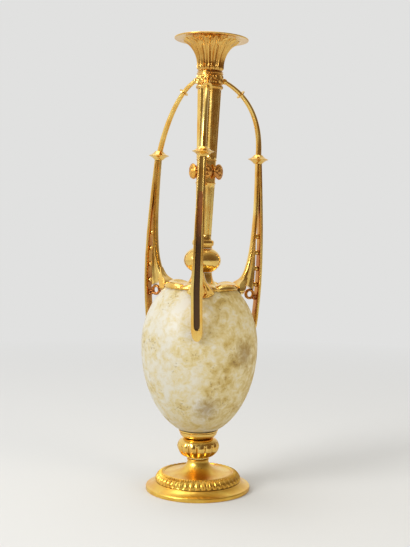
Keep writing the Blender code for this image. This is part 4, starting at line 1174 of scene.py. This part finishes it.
def leaf_part(plan, foot_turn):
    """The ribbed leaf that spreads from the branch over the plate's rim and the egg's shoulder."""
    rim = plan.crown.radius + EDGE + JOINT_GAP
    ribs = 5
    sections = []
    steps, spread = 30, 28
    for step in range(steps + 1):
        rise, width, inset, depth = blended(LEAF_LEVELS, step / steps)
        height = PLATE_SEAT + rise
        inner = max(rim, plan.egg_radius(height) + LEAF_CLEARANCE) + inset
        ring = []
        for point in range(spread + 1):
            side = 2 * point / spread - 1
            swell = (1 - abs(side) ** 2.6) ** 0.5 * 0.82 + 0.06
            swell *= 1 - 0.20 * math.sin(0.5 * math.pi * ribs * side) ** 2 * (1 - 0.3 * abs(side))
            ring.append((side, swell))
        ring += [(side, -0.02) for side in (0.8, 0.5, 0.2, -0.2, -0.5, -0.8)]
        placed = []
        for side, out in ring:
            turn = math.radians(foot_turn) + side * width * plan.sizes.leaf_width / inner
            reach = inner + out * depth
            placed.append(facing(reach * math.cos(turn), reach * math.sin(turn), height))
        sections.append(placed)
    return lofted(sections)


def painted_inner_reflection(bm):
    """A part whose faces all take the handle's inner finish, a painted coppery reflection and shade."""
    for face in bm.faces:
        face.material_index = INNER_REFLECTION_FINISH
    return bm


def ring_part(radius, level, size, thick):
    """An open scroll ring that stands in the handle's plane."""
    bm = bmesh.new()
    section = bmesh.ops.create_circle(bm, segments=12, radius=thick)["verts"]
    place = Matrix.Translation((size, 0, 0)) @ Matrix.Rotation(math.pi / 2, 4, "X")
    bmesh.ops.transform(bm, matrix=Matrix.Diagonal((1, 1, 1.6, 1)) @ place, verts=section)
    edges = list({edge for vert in section for edge in vert.link_edges})
    bmesh.ops.spin(bm, geom=section + edges, axis=(0, 0, 1), cent=(0, 0, 0), steps=32, angle=math.tau,
                   use_merge=True, use_duplicate=False)
    aim = Matrix.Translation(facing(radius, 0, level)) @ Matrix.Rotation(math.pi / 2, 4, "Y")
    bmesh.ops.transform(bm, matrix=aim, verts=bm.verts)
    return bm


class VASE_OT_handles(bpy.types.Operator):
    """Casts the three handles, each a little unlike the others, as hand-fitted ones are"""

    bl_idname = "vase.handles"
    bl_label = "Handles"

    def execute(self, context):
        scene = context.scene
        sizes = scene.vase_handles
        for index, (node, arm_spread, blade_spread, foot_turn, sway) in enumerate(HANDLES):
            plan = HandlePlan(sizes, scene.vase_egg, scene.vase_crown, scene.vase_collar,
                              arm_spread, blade_spread, sway)
            parts = [arm_part(plan), blade_part(plan), branch_part(plan), leaf_part(plan, foot_turn)]
            core, edge, hollow = sizes.disc_core, sizes.disc_edge, -sizes.disc_hollow
            disc = [(0, -sizes.disc_height)] + [(core, -sizes.disc_height)]
            disc += bow(disc[-1], (sizes.disc_radius - edge, -edge), hollow, 8)
            disc += bow(disc[-1], (sizes.disc_radius - edge, edge), edge, 4)
            disc += bow(disc[-1], (core, sizes.disc_height), hollow, 8)
            disc += [(0, sizes.disc_height)]
            knop = Vector((sizes.knop_radius, plan.knop_level))
            parts.append(disc_part(disc, 48, knop, Vector((0, 1))))
            bud_place = part_at(plan.arm, plan.arm_top - sizes.bud_drop)
            point = bezier(plan.arm, bud_place)
            parts.append(disc_part(BUD, 18, point, bezier(plan.arm, bud_place + 0.02) - point))
            ball_level = plan.arm_top - sizes.arm_ball_drop
            parts.append(ball_part(face_at(plan.arm, ball_level), ball_level, sizes.arm_ball))
            for level in range(sizes.beads):
                height = PLATE_SEAT + sizes.bead_top - level * sizes.bead_pitch
                outer = face_at(plan.blade, height) - sizes.blade_thickness
                parts.append(ball_part(outer - 0.4 * sizes.slot, height, sizes.bead))
                pin = ball_part(outer - 0.45 * sizes.slot, height, 0.35 * sizes.bead, 4.2)
                parts.append(painted_inner_reflection(pin))
            eye_level = PLATE_SEAT - sizes.eye_drop
            parts.append(painted_inner_reflection(ring_part(sizes.eye_distance, eye_level, sizes.eye, sizes.eye_wire)))
            curl_level = eye_level - sizes.curl_drop
            curl = face_at(plan.blade, curl_level) - sizes.blade_thickness - sizes.curl
            parts.append(painted_inner_reflection(ring_part(curl, curl_level, sizes.curl, sizes.curl_wire)))
            place = on_mount_axis() @ Matrix.Rotation(math.tau * index / 3, 4, "Z")
            made = add_piece(f"{node}_cast", gathered(parts), gilt(), [node], place)
            made.data.materials.append(channel_shade_and_reflection())
            made.data.materials.append(red_gilt_and_reflection())
        return {"FINISHED"}


def softbox(name, place, size, watts, tint, mirrored):
    """A square studio light that looks at the vase, and may be kept out of the mirror images."""
    lamp = bpy.data.lights.new(name, "AREA")
    lamp.size = size
    lamp.energy = watts
    lamp.color = tint
    made = bpy.data.objects.new(name, lamp)
    bpy.context.scene.collection.objects.link(made)
    made.visible_glossy = mirrored
    made.location = place
    made.rotation_mode = "QUATERNION"
    made.rotation_quaternion = (Vector(LIGHTS_AIM) - Vector(place)).to_track_quat("-Z", "Y")


class VASE_OT_stage(bpy.types.Operator):
    """Lays the pale floor and sets up the soft lights and the camera"""

    bl_idname = "vase.stage"
    bl_label = "Stage"

    def execute(self, context):
        scene, sizes = context.scene, context.scene.vase_stage
        bm = bmesh.new()
        bmesh.ops.create_circle(bm, segments=96, radius=FLOOR_RADIUS, cap_ends=True)
        mesh = bpy.data.meshes.new("floor")
        bm.to_mesh(mesh)
        bm.free()
        floor = bpy.data.objects.new("floor", mesh)
        scene.collection.objects.link(floor)
        # Matt paper that runs out into a lit distance of the backdrop's own tone
        paper, tree, shader = new_finish("pale_paper")
        where = add_node(tree, "TexCoord").outputs["Object"]
        away = add_node(tree, "VectorMath", {"operation": "LENGTH"}, {0: where})
        far = add_node(tree, "MapRange", {"From Min": FADE_FROM, "From Max": FADE_TO},
                       {"Value": away.outputs["Value"]})
        near = add_node(tree, "Mix", {"data_type": "RGBA", 6: (*sizes.floor, 1), 7: (0, 0, 0, 1)},
                        {0: far.outputs[0]})
        tree.links.new(near.outputs[2], shader.inputs["Base Color"])
        tree.links.new(far.outputs[0], shader.inputs["Emission Strength"])
        shader.inputs["Emission Color"].default_value = (*sizes.backdrop, 1)
        shader.inputs["Roughness"].default_value = 0.75
        shader.inputs["Specular IOR Level"].default_value = 0
        mesh.materials.append(paper)

        world = bpy.data.worlds.new("studio")
        world.use_nodes = True
        tree = world.node_tree
        tree.nodes.clear()
        seen = add_node(tree, "Background", {0: (*sizes.backdrop, 1), 1: 1.0})
        aim = add_node(tree, "TexCoord").outputs["Generated"]
        side = add_node(tree, "VectorMath", {"operation": "DOT_PRODUCT", 1: BRIGHT_TO_DIM}, {0: aim})
        place = add_node(tree, "MapRange", {"From Min": -1.0, "From Max": 1.0},
                         {"Value": side.outputs["Value"]})
        room = add_node(tree, "ValToRGB", {"stops": ROOM}, {0: place.outputs[0]})
        around = add_node(tree, "Background", {1: 1.0}, {0: room.outputs[0]})
        soft = add_node(tree, "Background", {0: (1, 0.99, 0.97, 1), 1: 0.58})
        path = add_node(tree, "LightPath")
        shone = add_node(tree, "MixShader", links={0: path.outputs["Is Glossy Ray"], 1: soft.outputs[0],
                                                   2: around.outputs[0]})
        mixed = add_node(tree, "MixShader", links={0: path.outputs["Is Camera Ray"], 1: shone.outputs[0],
                                                   2: seen.outputs[0]})
        add_node(tree, "OutputWorld", links={0: mixed.outputs[0]})
        scene.world = world
        scene.view_settings.view_transform = "Standard"

        for light in LIGHTS:
            softbox(*light)

        lens = bpy.data.cameras.new("camera")
        lens.sensor_fit = "VERTICAL"
        lens.sensor_height = LENS_FRAME
        lens.lens = LENS
        camera = bpy.data.objects.new("camera", lens)
        scene.collection.objects.link(camera)
        pitch = math.pi / 2 - sizes.tilt
        camera.matrix_world = (Matrix.Rotation(sizes.way_round, 4, "Z")
                               @ Matrix.Translation((sizes.side, -sizes.distance, sizes.eye_level))
                               @ Matrix.Rotation(pitch, 4, "X") @ Matrix.Rotation(sizes.roll, 4, "Z"))
        scene.camera = camera
        return {"FINISHED"}


class VASE_PT_panel(bpy.types.Panel):
    """Lists the pieces of the vase in the sidebar"""

    bl_idname = "VASE_PT_panel"
    bl_label = "Bud Vase"
    bl_space_type = "VIEW_3D"
    bl_region_type = "UI"
    bl_category = "Bud Vase"

    def draw(self, context):
        for piece in OPERATORS:
            self.layout.operator(piece.bl_idname)
        for name in SETTINGS:
            group = getattr(context.scene, name)
            box = self.layout.box()
            for size in group.bl_rna.properties:
                if size.identifier not in ("rna_type", "name"):
                    box.prop(group, size.identifier)


SETTINGS = {
    "vase_foot": FootSizes,
    "vase_knop": KnopSizes,
    "vase_egg": EggSizes,
    "vase_crown": CrownSizes,
    "vase_neck": NeckSizes,
    "vase_collar": CollarSizes,
    "vase_lip": LipSizes,
    "vase_handles": HandleSizes,
    "vase_finishes": Finishes,
    "vase_stage": StageSettings,
}
OPERATORS = (VASE_OT_foot, VASE_OT_knop, VASE_OT_egg, VASE_OT_crown, VASE_OT_neck, VASE_OT_rosettes,
             VASE_OT_collar, VASE_OT_lip, VASE_OT_handles, VASE_OT_stage)


def register():
    for group in SETTINGS.values():
        bpy.utils.register_class(group)
    for name, group in SETTINGS.items():
        setattr(bpy.types.Scene, name, bpy.props.PointerProperty(type=group))
    for item in (*OPERATORS, VASE_PT_panel):
        bpy.utils.register_class(item)


def unregister():
    for item in (VASE_PT_panel, *reversed(OPERATORS)):
        bpy.utils.unregister_class(item)
    for name, group in SETTINGS.items():
        delattr(bpy.types.Scene, name)
        bpy.utils.unregister_class(group)


def main():
    register()
    for piece in OPERATORS:
        getattr(bpy.ops.vase, piece.bl_idname.split(".")[1])()


if __name__ == "__main__":
    main()
